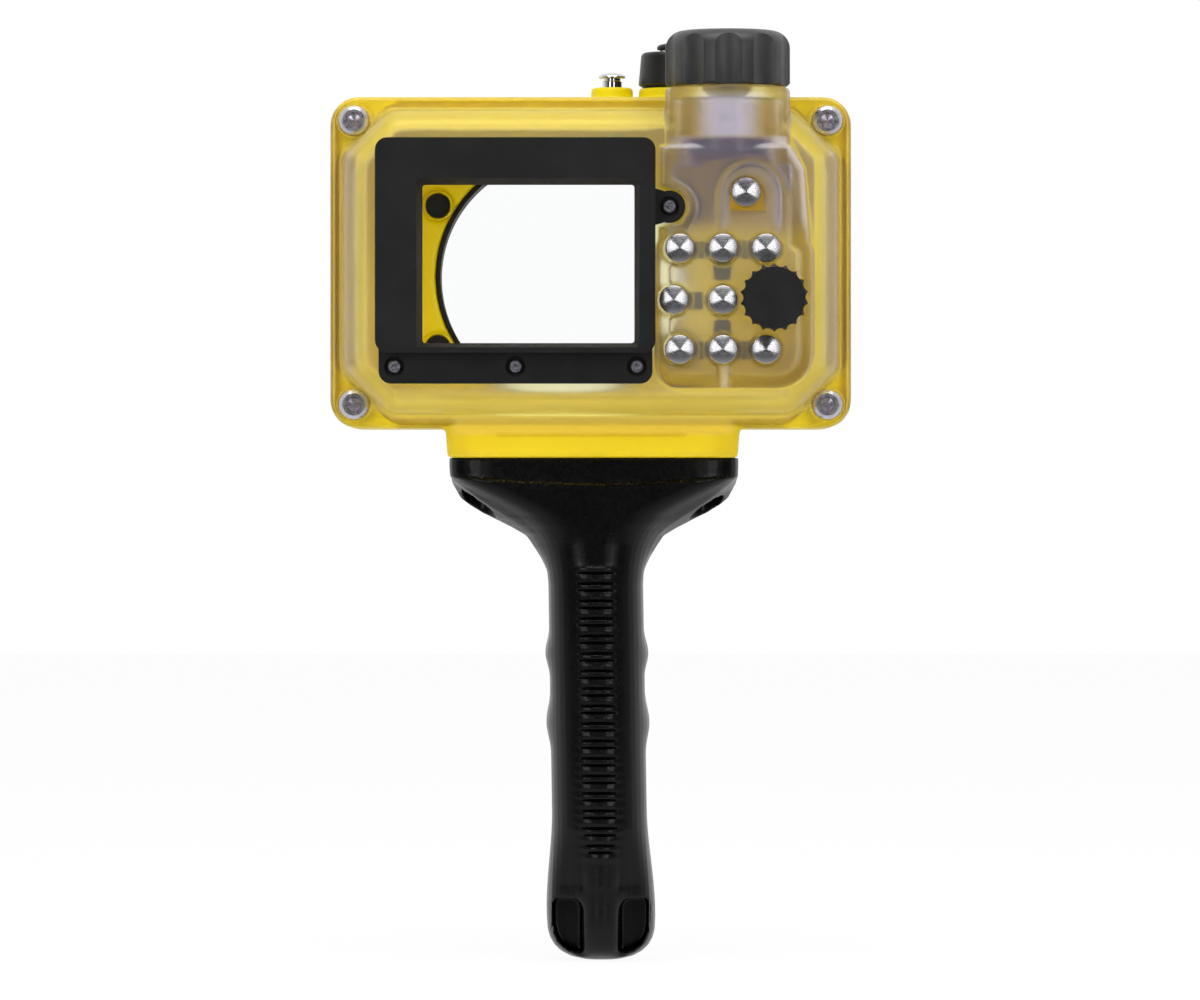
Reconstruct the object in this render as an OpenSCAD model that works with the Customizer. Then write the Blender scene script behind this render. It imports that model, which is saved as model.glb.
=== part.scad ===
// Underwater housing for a compact camera, on a pistol grip.
// +X is right as seen by the user behind it, +Y points to the lens port, +Z is up.
// The origin is the centre of the lens port's mouth, on the lens axis. Sizes are in millimetres.

/* [Body] */
// Width of both shells
body_w = 148.5; // [140:0.5:165]
// Height of both shells
body_h = 94.5; // [90:0.5:110]
// Lens axis to the left side
axis_left = 65.5; // [60:0.5:72]
// Lens axis to the underside
axis_bottom = 44.5; // [42:0.5:52]
// Radius of the four corners
corner_r = 8; // [5:0.5:10]
// Depth of the front shell
shell_depth = 40; // [34:1:60]
// Thickness of the front shell's sides
side_wall = 5; // [4.6:0.1:6]
// Thickness of the front wall
front_wall = 3.4; // [3:0.1:5]
// Radius of the front shell's front edge
front_edge_r = 5; // [2:0.5:7]
// Leg of the chamfer in the camera bay's corners
bay_cut = 13; // [12.5:0.5:18]

/* [Pedestal] */
// Width of the pedestal at its foot
pedestal_w = 82.8; // [70:0.2:90]
// How much wider it is at the body, each side
pedestal_flare = 0.6; // [0.2:0.1:2]
// How far it stands below the body
pedestal_drop = 8.3; // [7:0.1:14]
// Its centre, right of the lens axis
pedestal_x = 9.3; // [6:0.1:12]
// Its depth along the lens axis
pedestal_d = 35; // [34:0.5:40]

/* [Rear cover] */
// Thickness of the cover's flange
flange_t = 6; // [5.5:0.5:8]
// Radius of the flange's rear edge
flange_edge_r = 1.6; // [0.5:0.1:2.5]
// Height of the raised box over the joint
box_rise = 20; // [18:0.5:24]
// Raised box's foot to the side of the body
box_inset = 4; // [3:0.5:6]
// Width of the raised box's rounded shoulder
box_shoulder = 7.5; // [6:0.5:9]
// Further height of the control bump
bump_rise = 4; // [3:0.5:6]
// Wall of the cover
cover_wall = 3.5; // [3:0.1:4]

/* [Cover screws] */
// Screw axis to both sides of the corner
corner_screw_inset = 6.8; // [6.5:0.1:7.5]
// Diameter of the screw's head
corner_head_d = 8.5; // [7:0.1:8.8]
// Height of the screw's head
corner_head_h = 5; // [4:0.1:6]
// Diameter of the screw's shank
corner_shank_d = 5; // [4:0.1:5.4]
// Length of the shank below the head
corner_shank_len = 16; // [12:0.5:24]
// Diameter of the threaded insert
corner_insert_d = 7; // [6.4:0.1:7.4]

/* [Main seal] */
// Width of the sealing ring's section
seal_w = 1.8; // [1.4:0.1:2]
// Centre line of the seal to the side of the body
seal_inset = 2.5; // [2.2:0.1:2.6]

/* [Screen] */
// Width of the screen opening
screen_w = 59.7; // [50:0.1:62]
// Height of the screen opening
screen_h = 44.5; // [38:0.1:47]
// Centre of the opening, left of the lens axis
screen_left = 8.85; // [7:0.05:11]
// Centre of the opening, above the lens axis
screen_up = 1.85; // [0:0.05:4]
// Thickness of the clear window
window_t = 2.4; // [2:0.1:2.6]
// Window's edge past the opening in the cover
window_lap = 3; // [2:0.5:4]

/* [Hood] */
// Frame left of the opening
hood_left = 13.2; // [10:0.1:14]
// Frame right of the opening
hood_right = 6; // [4:0.1:6.2]
// Frame above the opening
hood_top = 13; // [8:0.1:14]
// Frame below the opening
hood_bottom = 3; // [2.5:0.1:4]
// Height of the foot below the frame
hood_foot = 8.6; // [7:0.1:9.5]
// Height of the hood over the raised box
hood_rise = 12; // [8:0.5:18]
// Height of its foot and lug over the raised box
hood_foot_rise = 4.5; // [3.5:0.5:7]
// Radius of the hood's corners
hood_r = 3.4; // [2:0.1:5]
// Foot's ends inside the frame's
hood_foot_inset = 0.8; // [0:0.1:1.5]
// How much wider the mouth is than the opening, each side
hood_draft = 1.6; // [0.5:0.1:2]
// Diameter of the hood screws' heads
hood_head_d = 4; // [3:0.1:4.6]
// Lug's radius
lug_r = 4.5; // [4:0.1:5]

/* [Lens port] */
// Clear diameter of the port
port_d = 70; // [60:0.5:72]
// Front wall to the port's mouth
port_depth = 16; // [12:0.5:30]
// Wall of the port's tube
port_wall = 4.6; // [4.2:0.1:6]
// Thickness of the port's flange
port_flange_t = 4; // [3:0.5:6]
// Diameter of the circle of port screws
port_pcd = 82.4; // [80:0.2:86]
// Angle of the port screws off level
port_screw_angle = 30; // [25:1:35]
// Diameter of the port screws' shank
port_shank_d = 3; // [2.5:0.1:3.4]
// Diameter of the black inserts behind the front wall
port_insert_d = 6.9; // [6:0.1:7.4]
// Thickness of the port glass
glass_t = 4; // [3:0.5:6]
// Thickness of the ring that holds the glass
retainer_t = 3; // [2:0.5:5]
// Diameter of the seat for an add-on lens
port_seat_d = 76.4; // [75.8:0.1:77]
// Length of that seat
port_seat_len = 8; // [5:0.5:9]

/* [Push buttons] */
// Diameter of a button's head
button_d = 8.1; // [7:0.1:8.6]
// Height of the head
button_h = 3.4; // [3:0.1:5]
// Diameter of its stem
button_stem_d = 3.2; // [2.8:0.1:3.6]
// How far a button travels
button_travel = 2; // [1:0.1:2.4]
// Wire of the button's spring
button_wire_d = 0.5; // [0.4:0.05:0.6]
// Length of an offset arm between its two ends
arm_len = 6.6; // [5:0.1:7]
// Width of an offset arm
arm_w = 5; // [4.4:0.1:5.4]
// Thickness of an offset arm
arm_t = 2.2; // [1.5:0.1:3]

/* [Thumb wheel] */
// Diameter over the scallops
thumb_d = 19.1; // [16:0.1:20]
// Thickness of the wheel
thumb_h = 7.5; // [5:0.5:10]
// Number of scallops
thumb_scallops = 18; // [12:1:24]
// Diameter of the wheel's shaft
thumb_shaft_d = 4; // [3:0.1:5]
// Diameter of the rubber roller inside
thumb_roller_d = 12; // [8:0.5:13]

/* [Mode knob] */
// Diameter of the big knob
mode_d = 35.3; // [30:0.1:36]
// Height of the big knob
mode_h = 15.6; // [12:0.1:20]
// Number of flutes
mode_flutes = 10; // [8:1:14]
// Radius of the knob's top edge
mode_edge_r = 5; // [2:0.5:6]
// Axis of the knob right of the lens axis
mode_x = 47.6; // [44:0.1:50]
// Axis of the knob behind the joint
mode_back = 15.5; // [15:0.1:17]
// Tower's top over the body's top
tower_over = 2.2; // [1:0.1:5]
// Diameter of the knob's shaft
mode_shaft_d = 6; // [5:0.1:8]
// Diameter of the cup on the shaft's end
cup_d = 25; // [20:0.5:25.5]
// Height of the cup
cup_h = 4.2; // [3:0.1:4.6]

/* [Zoom ring and shutter] */
// Diameter of the zoom ring's foot
zoom_d = 19.8; // [16:0.1:20]
// Diameter of its top
zoom_top_d = 18.4; // [15:0.1:19]
// Height of the zoom ring
zoom_h = 10; // [8:0.1:14]
// Height of the yellow boss under it
zoom_boss_h = 3.5; // [2:0.1:6]
// Axis of the zoom ring right of the lens axis
zoom_x = 32.4; // [30:0.1:34]
// Axis of the zoom ring in front of the joint
zoom_front = 14.5; // [13:0.5:18]
// Diameter of the zoom shaft
zoom_shaft_d = 9; // [8:0.1:9.8]
// Diameter of the shutter cap
shutter_d = 9.2; // [8:0.1:9.6]
// Height of the shutter cap
shutter_h = 1.9; // [1.5:0.1:3]
// Diameter of the shutter stem
shutter_stem_d = 4; // [3.4:0.1:4.4]
// How far the shutter travels
shutter_travel = 2; // [1:0.1:2.2]

/* [Power button] */
// Diameter of its boss
power_boss_d = 12.1; // [10:0.1:13]
// Height of its boss
power_boss_h = 3.7; // [2.5:0.1:6]
// Axis right of the lens axis
power_x = 14.9; // [12:0.1:16]
// Axis in front of the joint
power_front = 15; // [13:0.5:20]
// Diameter of the mushroom head
power_head_d = 7.9; // [7:0.1:9]
// Diameter of the skirt below the head
power_skirt_d = 5.8; // [5:0.1:6]
// How far it travels
power_travel = 2; // [1:0.1:2.2]

/* [Grip] */
// Length of the grip
grip_len = 144.4; // [130:0.2:160]
// Width over the wings
wing_w = 83.4; // [74:0.2:90]
// Depth of the wings along the lens axis
wing_d = 32; // [28:0.5:34]
// Depth from the top at which the wings have run into the neck
wing_drop = 36; // [32:0.5:40]
// Width of the grip
grip_w = 27.4; // [25:0.2:32]
// Grip's axis to its back
grip_back = 15.5; // [14:0.5:18]
// Grip's axis to its front
grip_front = 17.5; // [15:0.5:20]
// Extra width of the tail, each side
tail_flare = 2; // [0:0.1:3]
// How far the tail stands to the right of the grip's top
tail_drift = 2.3; // [0:0.1:3]
// Height of the two finger ridges at the front
ridge_h = 3.2; // [0:0.1:5]
// First finger ridge below the top
ridge_1 = 56; // [52:0.5:60]
// Second finger ridge below the top
ridge_2 = 76; // [70:0.5:84]
// Height of the ribs across the back
rib_h = 0.9; // [0:0.1:1.5]
// Distance from rib to rib
rib_pitch = 5; // [4.5:0.1:5.6]
// Number of ribs
rib_count = 17; // [10:1:17]
// First rib below the top
rib_start = 32; // [31:0.5:34]
// Width of the ribs
rib_w = 14; // [8:0.2:16]
// Width of the post between the tail's pockets
post_w = 10.8; // [9:0.2:12]
// Width of one tail pocket
pocket_w = 8.4; // [7:0.2:8.6]
// Top of the tail pockets above the tail's end
pocket_h = 18.2; // [15:0.2:22]
// Floor under the tail pockets
pocket_floor = 1.6; // [1.4:0.1:4]
// Diameter of the lanyard hole through the post
lanyard_d = 6; // [4:0.5:7]
// Distance between the two handle screws
handle_screw_span = 65.5; // [60:0.5:68]
// Diameter of the handle screws' heads
handle_head_d = 8.5; // [7:0.1:9]
// Diameter of their shanks
handle_shank_d = 5; // [4:0.1:5.5]
// Wing left between the screw head and the pedestal
handle_seat_t = 5; // [4:0.5:7]

/* [Hidden] */

$fn = 64;
hull_fn = 32;
skin = 0.01;
reach = 60;

// Clearances between pieces
run_gap = 0.05;
seat_gap = 0.02;
slide_gap = 0.3;
rest_gap = 0.1;
hole_gap = 0.4;

// Planes of the two shells
split_y = -(shell_depth + port_depth);
wall_y = -port_depth;
bay_front_y = wall_y - front_wall;
body_l = -axis_left;
body_r = body_w - axis_left;
body_b = -axis_bottom;
body_t = body_h - axis_bottom;
pedestal_b = body_b - pedestal_drop;
bay_top = body_t - side_wall;
box_y = split_y - box_rise;
bump_y = box_y - bump_rise;

// Colours
yellow = [0.93, 0.76, 0.10];
frost = [0.78, 0.74, 0.66, 0.75];
black = [0.10, 0.10, 0.10];
steel = [0.75, 0.75, 0.78];
rubber = [0.06, 0.06, 0.06];
clear = [0.85, 0.92, 0.95, 0.4];
brass = [0.75, 0.62, 0.30];

// Points of outlines in the X-Z plane

function unit(v) = v / norm(v);

// One corner of an outline as an arc of radius r
function arc_corner(a, b, c, r, n) =
    let (u = unit(a - b), v = unit(c - b), half = acos(u * v) / 2,
         centre = b + unit(u + v) * r / sin(half),
         start = b + u * r / tan(half) - centre, end = b + v * r / tan(half) - centre,
         from = atan2(start[1], start[0]), turn = atan2(end[1], end[0]) - from,
         sweep = turn > 180 ? turn - 360 : turn < -180 ? turn + 360 : turn)
    [for (i = [0:n]) centre + r * [cos(from + sweep * i / n), sin(from + sweep * i / n)]];

// An outline with every corner rounded, by one radius or by one for each corner
function rounded(pts, r, n = 6) =
    [for (i = [0:len(pts) - 1])
        each arc_corner(pts[(i + len(pts) - 1) % len(pts)], pts[i], pts[(i + 1) % len(pts)],
                        is_list(r) ? r[i] : r, n)];

function box_pts(l, b, r, t) = [[l, b], [r, b], [r, t], [l, t]];

// A box with its four corners cut off at 45 degrees
function cut_pts(l, b, r, t, c) =
    [[l + c, b], [r - c, b], [r, b + c], [r, t - c], [r - c, t], [l + c, t], [l, t - c], [l, b + c]];

function body_pts(inset) =
    rounded(box_pts(body_l + inset, body_b + inset, body_r - inset, body_t - inset),
            max(corner_r - inset, 1));

// The body's outline set in, with chamfered and softened corners
function cut_body_pts(inset, cut, r) =
    rounded(cut_pts(body_l + inset, body_b + inset, body_r - inset, body_t - inset, cut), r, 4);

// A chamfer set in by d keeps parallel when its leg shrinks by this share of d
cut_share = 2 - sqrt(2);

function pedestal_pts(inset, foot) =
    [[pedestal_x - pedestal_w / 2 - pedestal_flare + inset, body_b + corner_r],
     [pedestal_x - pedestal_w / 2 - pedestal_flare + inset, body_b],
     [pedestal_x - pedestal_w / 2 + inset, foot],
     [pedestal_x + pedestal_w / 2 - inset, foot],
     [pedestal_x + pedestal_w / 2 + pedestal_flare - inset, body_b],
     [pedestal_x + pedestal_w / 2 + pedestal_flare - inset, body_b + corner_r]];

// Corners where the cover screws sit
screw_spots = [for (x = [body_l + corner_screw_inset, body_r - corner_screw_inset],
                    z = [body_b + corner_screw_inset, body_t - corner_screw_inset]) [x, z]];

// Extrudes an X-Z outline from the plane y_rear to the plane y_front
module slab(y_rear, y_front) {
    translate([0, y_front, 0]) rotate([90, 0, 0]) linear_extrude(y_front - y_rear) children();
}

// Places children at x, z on a plane, with their own +Z towards the user
module facing_user(x, z, y) {
    translate([x, y, z]) rotate([90, 0, 0]) children();
}

// A straight tube or rod between two heights
module rod(d, z0, z1) {
    translate([0, 0, z0]) cylinder(d = d, h = z1 - z0);
}

// A helical spring of round wire, standing on z = 0
module coil_spring(mean_d, wire_d, height, turns) {
    steps = 8;
    sides = 6;
    rings = ceil(turns * steps);
    points = [for (i = [0:rings], k = [0:sides - 1])
        let (turn = 360 * turns * i / rings, lift = wire_d / 2 + (height - wire_d) * i / rings,
             out = mean_d / 2 + wire_d / 2 * cos(360 * k / sides))
        [out * cos(turn), out * sin(turn), lift + wire_d / 2 * sin(360 * k / sides)]];
    polyhedron(points, tube_faces(rings, sides));
}

// Triangles of a tube of rings, with both ends closed
function tube_faces(rings, sides) = concat(
    [for (k = [1:sides - 2]) [0, k + 1, k]],
    [for (i = [0:rings - 1], k = [0:sides - 1])
        [i * sides + k, i * sides + (k + 1) % sides, (i + 1) * sides + (k + 1) % sides]],
    [for (i = [0:rings - 1], k = [0:sides - 1])
        [i * sides + k, (i + 1) * sides + (k + 1) % sides, (i + 1) * sides + k]],
    [for (k = [1:sides - 2]) [rings * sides, rings * sides + k, rings * sides + k + 1]]);

// Ring with a round section
module o_ring(mean_d, wire_d) {
    rotate_extrude() translate([mean_d / 2, 0]) circle(d = wire_d);
}

// Seals round stems and shafts: a ring in a groove

ring_wire = 1.1;

module gland_groove(stem_d) {
    translate([0, 0, -(ring_wire + rest_gap) / 2])
        cylinder(d = stem_d + 2 * ring_wire + 4 * run_gap, h = ring_wire + rest_gap);
}

module gland_ring(stem_d) {
    o_ring(stem_d + ring_wire + 2 * run_gap, ring_wire);
}

// Cap screw with a hexagon socket: its head stands on z = 0 and its shank runs down
module cap_screw(head_d, head_h, shank_d, shank_len) {
    difference() {
        rod(head_d, 0, head_h);
        translate([0, 0, head_h * 0.45]) cylinder(d = head_d * 0.58, h = head_h, $fn = 6);
    }
    rod(shank_d, -shank_len, skin);
}

// Main seal

seal_cut = 2 * (corner_screw_inset - seal_inset) + sqrt(2) * (corner_insert_d / 2 + 1.6);

// Outline of the main seal, d outside its centre line
function seal_pts(d) = cut_body_pts(seal_inset - d, seal_cut + cut_share * d, 5 + d);

module main_seal() {
    color(rubber)
    difference() {
        slab(split_y + run_gap, split_y + run_gap + seal_w) polygon(seal_pts(seal_w / 2));
        slab(split_y - 1, split_y + seal_w + 1) polygon(seal_pts(-seal_w / 2));
    }
}

// Front shell

corner_head_sink = corner_head_h - 1.5;
corner_reach = corner_shank_len - (flange_t - corner_head_sink);
insert_floor = 1;
insert_len = corner_reach + insert_floor + 0.6;
boss_ring_d = port_insert_d + 2.2;
boss_ring_h = 3;
port_spigot_d = port_d + 2.8;
port_spots = [for (s = [-1, 1], t = [-1, 1])
    port_pcd / 2 * [s * cos(port_screw_angle), t * sin(port_screw_angle)]];
handle_insert_d = handle_shank_d + 2;
handle_insert_len = 8;
handle_spots = [for (s = [-1, 1]) pedestal_x + s * handle_screw_span / 2];
grip_x = pedestal_x + 0.3;
grip_y = split_y + pedestal_d / 2;

// Zoom shaft's bore and the power button's two bores
zoom_y = split_y + zoom_front;
zoom_boss_t = body_t + zoom_boss_h;
zoom_seal_z = (bay_top + zoom_boss_t) / 2;
power_y = split_y + power_front;
power_boss_t = body_t + power_boss_h;
power_stem_d = 3;
power_guide_b = bay_top - 4;
power_floor = bay_top - 2;
power_seal_z = power_boss_t - 2.4;

module front_shell() {
    color(yellow)
    difference() {
        union() {
            hull() {
                slab(split_y, wall_y - front_edge_r) polygon(body_pts(0));
                for (a = [22.5:22.5:90])
                    slab(wall_y - front_edge_r, wall_y - front_edge_r * (1 - sin(a)))
                        polygon(body_pts(front_edge_r * (1 - cos(a))));
            }
            slab(split_y, split_y + pedestal_d) polygon(pedestal_pts(0, pedestal_b));
            translate([zoom_x, zoom_y, 0]) rod(zoom_d, body_t - 1, zoom_boss_t);
            translate([power_x, power_y, 0]) rod(power_boss_d, body_t - 1, power_boss_t);
        }
        difference() {
            slab(split_y - 1, bay_front_y) polygon(cut_body_pts(side_wall, bay_cut, 4));
            for (p = port_spots)
                facing_user(p[0], p[1], bay_front_y + 1) rod(boss_ring_d, 0, boss_ring_h + 1);
            translate([power_x, power_y, 0]) rod(power_boss_d, power_guide_b, bay_top + 1);
        }
        difference() {
            slab(split_y - 1, split_y + seal_w + 2 * run_gap) polygon(seal_pts(seal_w / 2 + run_gap));
            slab(split_y - 2, split_y + seal_w + 1) polygon(seal_pts(-seal_w / 2 - run_gap));
        }
        for (p = screw_spots)
            facing_user(p[0], p[1], split_y) rod(corner_insert_d + 2 * seat_gap, -insert_len, 1);
        facing_user(0, 0, wall_y) rod(port_spigot_d + 2 * seat_gap, -1, front_wall + 1);
        for (p = port_spots)
            facing_user(p[0], p[1], wall_y)
                rod(port_insert_d + 2 * seat_gap, -1, front_wall + boss_ring_h + 1);
        translate([zoom_x, zoom_y, 0]) {
            rod(zoom_shaft_d + 2 * run_gap, bay_top - 1, zoom_boss_t + 1);
            translate([0, 0, zoom_seal_z]) gland_groove(zoom_shaft_d);
        }
        translate([power_x, power_y, 0]) {
            rod(power_skirt_d + 2 * run_gap, power_floor, power_boss_t + 1);
            rod(power_stem_d + 2 * run_gap, power_guide_b - 1, power_floor + 1);
            translate([0, 0, power_seal_z]) gland_groove(power_skirt_d);
        }
        for (x = handle_spots)
            translate([x, grip_y, pedestal_b]) rod(handle_insert_d + 2 * seat_gap, -1, handle_insert_len);
    }
}

module shell_seals() {
    color(rubber) {
        translate([zoom_x, zoom_y, zoom_seal_z]) gland_ring(zoom_shaft_d);
        translate([power_x, power_y, power_seal_z]) gland_ring(power_skirt_d);
    }
}

module cover_inserts() {
    color(brass)
    for (p = screw_spots)
        facing_user(p[0], p[1], split_y) difference() {
            rod(corner_insert_d, -insert_len, 0);
            rod(corner_shank_d + 2 * run_gap, insert_floor - insert_len, 1);
        }
}

// Lens port: a flanged tube with a spigot in the front wall, its glass and the ring that holds it

port_tube_d = port_d + 2 * port_wall;
glass_lap = 1.9;
glass_d = port_d + 2 * glass_lap;
port_head_d = port_shank_d + 2.5;
port_ear_d = port_head_d + 4.5;
port_seal_wire = 1.2;
port_seal_d = port_spigot_d + 2.6;
port_reach = front_wall + boss_ring_h - 1;

module port_ring() {
    color(black)
    difference() {
        union() {
            facing_user(0, 0, 0) rod(port_seat_d, 0, port_seat_len + skin);
            facing_user(0, 0, -port_seat_len) rod(port_tube_d, 0, port_depth - port_seat_len);
            facing_user(0, 0, wall_y) rod(port_tube_d + 2, -port_flange_t, 0);
            facing_user(0, 0, wall_y) rod(port_spigot_d, -1, front_wall);
            for (p = port_spots)
                facing_user(p[0], p[1], wall_y) rod(port_ear_d, -port_flange_t, 0);
        }
        facing_user(0, 0, 0) rod(port_d, -1, port_depth + front_wall + 1);
        facing_user(0, 0, 0) rod(glass_d + 2 * seat_gap, -1, retainer_t + glass_t);
        facing_user(0, 0, wall_y) difference() {
            rod(port_seal_d + port_seal_wire + rest_gap, -port_seal_wire - rest_gap / 2, 1);
            rod(port_seal_d - port_seal_wire - rest_gap, -port_seal_wire - 1, 2);
        }
        for (p = port_spots)
            facing_user(p[0], p[1], wall_y) {
                rod(port_shank_d + 2 * run_gap, -port_flange_t - 1, 1);
                rod(port_head_d + hole_gap, -port_depth - 1, -port_flange_t);
            }
    }
}

module port_retainer() {
    color(black)
    facing_user(0, 0, 0) difference() {
        rod(glass_d, 0, retainer_t);
        rod(port_d, -1, retainer_t + 1);
    }
}

module port_glass() {
    color(clear)
    facing_user(0, 0, -retainer_t) rod(glass_d, 0, glass_t);
}

module port_seal() {
    color(rubber)
    facing_user(0, 0, wall_y + port_seal_wire / 2) o_ring(port_seal_d, port_seal_wire);
}

module port_screws() {
    color(steel)
    for (p = port_spots)
        facing_user(p[0], p[1], wall_y + port_flange_t) rotate([180, 0, 0])
            cap_screw(port_head_d, port_shank_d, port_shank_d, port_flange_t + port_reach);
}

module port_inserts() {
    color(black)
    for (p = port_spots)
        facing_user(p[0], p[1], wall_y) difference() {
            rod(port_insert_d, 0, front_wall + boss_ring_h + 1.2);
            rod(port_shank_d + 2 * run_gap, -1, port_reach + 0.5);
        }
}

// Grip: a loft of rings from the wings down to the tail

// How far the wings reach past the grip, by depth as a share of wing_drop, seen from the front
wing_reach = [[0, 1], [0.1, 1], [0.2, 0.975], [0.32, 0.89], [0.42, 0.73], [0.51, 0.475],
              [0.61, 0.23], [0.7, 0.15], [0.8, 0.07], [0.9, 0.01], [1, 0]];
// The same at the user's side, where a hollow runs from the rim into the neck
wing_hollow = [[0, 1], [0.15, 1], [0.22, 0.8], [0.31, 0.55], [0.42, 0.3], [0.56, 0.15],
               [0.7, 0.065], [0.85, 0.02], [1, 0]];
rim_depth = 5;
rim_step = 0.8;
rim_sag = 2.7;
tail_round = 12.8;
tail_power = 2.8;
grip_sides = 32;
rear_bias = 22;
// Rings across one rib: share of the pitch and of the height. A narrow ridge and a broad one share a pitch
rib_profile = [[0, 0], [0.2, 1], [0.4, 0], [0.7, 0.75]];
rib_top = rib_start - rib_pitch * rib_profile[1][0];
rib_end = rib_top + rib_count * rib_pitch;
tail_start = grip_len - tail_round;

function clamp01(t) = min(max(t, 0), 1);
function ease(t) = let (u = clamp01(t)) u * u * (3 - 2 * u);
function mix(a, b, t) = a + (b - a) * t;
function swell(d, centre, half) = abs(d - centre) < half ? (1 + cos(180 * (d - centre) / half)) / 2 : 0;
function ridges(d) = swell(d, ridge_1, 7) + swell(d, ridge_2, 9);
function tail_shrink(d) = d <= tail_start ? 1
    : pow(1 - pow((d - tail_start) / tail_round, tail_power), 1 / tail_power);
function tail_width(d) = tail_flare * ease((d - grip_len * 0.7) / (grip_len * 0.2));
function drift(d) = tail_drift * d / grip_len;
function half_front(d) = grip_w / 2 + (wing_w - grip_w) / 2 * lookup(d / wing_drop, wing_reach)
    + 1.2 * ridges(d) + tail_width(d);
function half_rear(d) = grip_w / 2 + (wing_w - grip_w) / 2 * lookup(d / wing_drop, wing_hollow)
    + 0.6 * tail_width(d);
function depth_front(d) = mix(wing_d / 2, grip_front, ease(d / wing_drop)) + ridge_h * ridges(d);
function depth_rear(d) = mix(wing_d / 2, grip_back, ease(d / wing_drop)) - (d < rim_depth ? rim_step : 0)
    + 1.2 * swell(d, grip_len * 0.6, grip_len * 0.35);
function section_power(d) = mix(6, 2.5, ease(d / (wing_drop * 0.7)));
function sag(d) = rim_sag * (d < rim_depth ? d / rim_depth : 1 - clamp01((d - rim_depth) / 20));
function rib_mask(x) = max(0, 1 - pow(2 * x / rib_w, 2));
// Side i's direction from the grip's axis, with more sides at the user's side for the ribs
function side_turn(i) = let (u = 360 * i / grip_sides) 270 + u - rear_bias * sin(u);

// One point of the ring at depth d, where ribs stand up by this share of their height
function grip_point(d, rib, turn) =
    let (c = cos(turn), s = sin(turn), p = 2 / section_power(d), k = tail_shrink(d),
         half = s >= 0 ? half_front(d) : mix(half_rear(d), half_front(d), pow(1 - abs(s), 4)),
         x = sign(c) * pow(abs(c), p) * half * k,
         side = sign(s) * pow(abs(s), p) * k,
         y = s >= 0 ? side * depth_front(d) : side * depth_rear(d) - rib_h * rib * rib_mask(x))
    [x + drift(d), y, -d - sag(d) * (1 - pow(x / half_front(d), 2))];

// Depth of each ring and its share of the ribs' height
grip_rings = concat(
    [for (d = [0, rim_depth / 2, rim_depth - skin, rim_depth + 0.3]) [d, 0]],
    [for (i = [1:11]) [rim_depth + (rib_top - rim_depth) * i / 12, 0]],
    [for (i = [0:rib_count - 1], r = rib_profile) [rib_top + rib_pitch * (i + r[0]), r[1]]],
    [for (i = [0:5]) [rib_end + (tail_start - rib_end) * i / 5, 0]],
    [for (a = [18:12:78]) [tail_start + tail_round * sin(a), 0]],
    [[grip_len - 0.1, 0]]);

tail_x = grip_x + drift(tail_start);
tail_b = pedestal_b - grip_len;
pocket_t = tail_b + pocket_h;
pocket_front = 4;
pocket_inner_r = 3.2;
pocket_outer_r = 2;
lanyard_y = grip_y - 4;
lanyard_z = tail_b + pocket_h * 0.6;

// Outline of the tail's pocket on side s: it follows the tail's round end
function pocket_pts(s) =
    let (inner = post_w / 2, outer = post_w / 2 + pocket_w, curve_z = tail_b + tail_round,
         last = pow(1 - pow(inner / outer, tail_power), 1 / tail_power),
         inner_top = [inner, pocket_t], outer_top = [outer, pocket_t])
    [for (p = concat(arc_corner([inner, tail_b], inner_top, outer_top, pocket_inner_r, 5),
                     arc_corner(inner_top, outer_top, [outer, tail_b], pocket_outer_r, 4),
                     [for (i = [0:8]) let (t = last * i / 8)
                         [outer * pow(1 - pow(t, tail_power), 1 / tail_power),
                          curve_z - (tail_round - pocket_floor) * t]]))
        [tail_x + s * p[0], p[1]]];

module handle() {
    color(black)
    difference() {
        translate([grip_x, grip_y, pedestal_b])
            polyhedron([for (r = grip_rings, i = [0:grip_sides - 1]) grip_point(r[0], r[1], side_turn(i))],
                       tube_faces(len(grip_rings) - 1, grip_sides));
        for (x = handle_spots)
            translate([x, grip_y, pedestal_b]) {
                rod(handle_shank_d + 2 * run_gap, -handle_seat_t - 1, 1);
                rod(handle_head_d + 3 * hole_gap, -wing_drop, -handle_seat_t);
            }
        for (s = [-1, 1])
            slab(grip_y - wing_d, grip_y + pocket_front) polygon(pocket_pts(s));
        translate([tail_x - post_w / 2 - 1, lanyard_y, lanyard_z]) rotate([0, 90, 0])
            cylinder(d = lanyard_d, h = post_w + 2);
    }
}

module handle_screws() {
    color(steel)
    for (x = handle_spots)
        translate([x, grip_y, pedestal_b - handle_seat_t]) rotate([180, 0, 0])
            cap_screw(handle_head_d, handle_shank_d, handle_shank_d, handle_seat_t + handle_insert_len - 2);
}

module handle_inserts() {
    color(brass)
    for (x = handle_spots)
        translate([x, grip_y, pedestal_b]) difference() {
            rod(handle_insert_d, 0, handle_insert_len);
            rod(handle_shank_d + 2 * run_gap, -1, handle_insert_len - 1);
        }
}

// Zoom ring with the shutter release in its middle

zoom_knob_b = zoom_boss_t + slide_gap;
zoom_knob_t = zoom_knob_b + zoom_h;
zoom_edge_r = 1.4;
dish_d = shutter_d + 1.2;
dish_depth = shutter_travel + 0.8;
zoom_grip_len = zoom_h - dish_depth - 1.6;
fork_d = 16;
fork_t = 2.3;
fork_t_z = bay_top - rest_gap;
cap_b = zoom_knob_t + 0.8;
stem_foot_t = 2.4;

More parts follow.
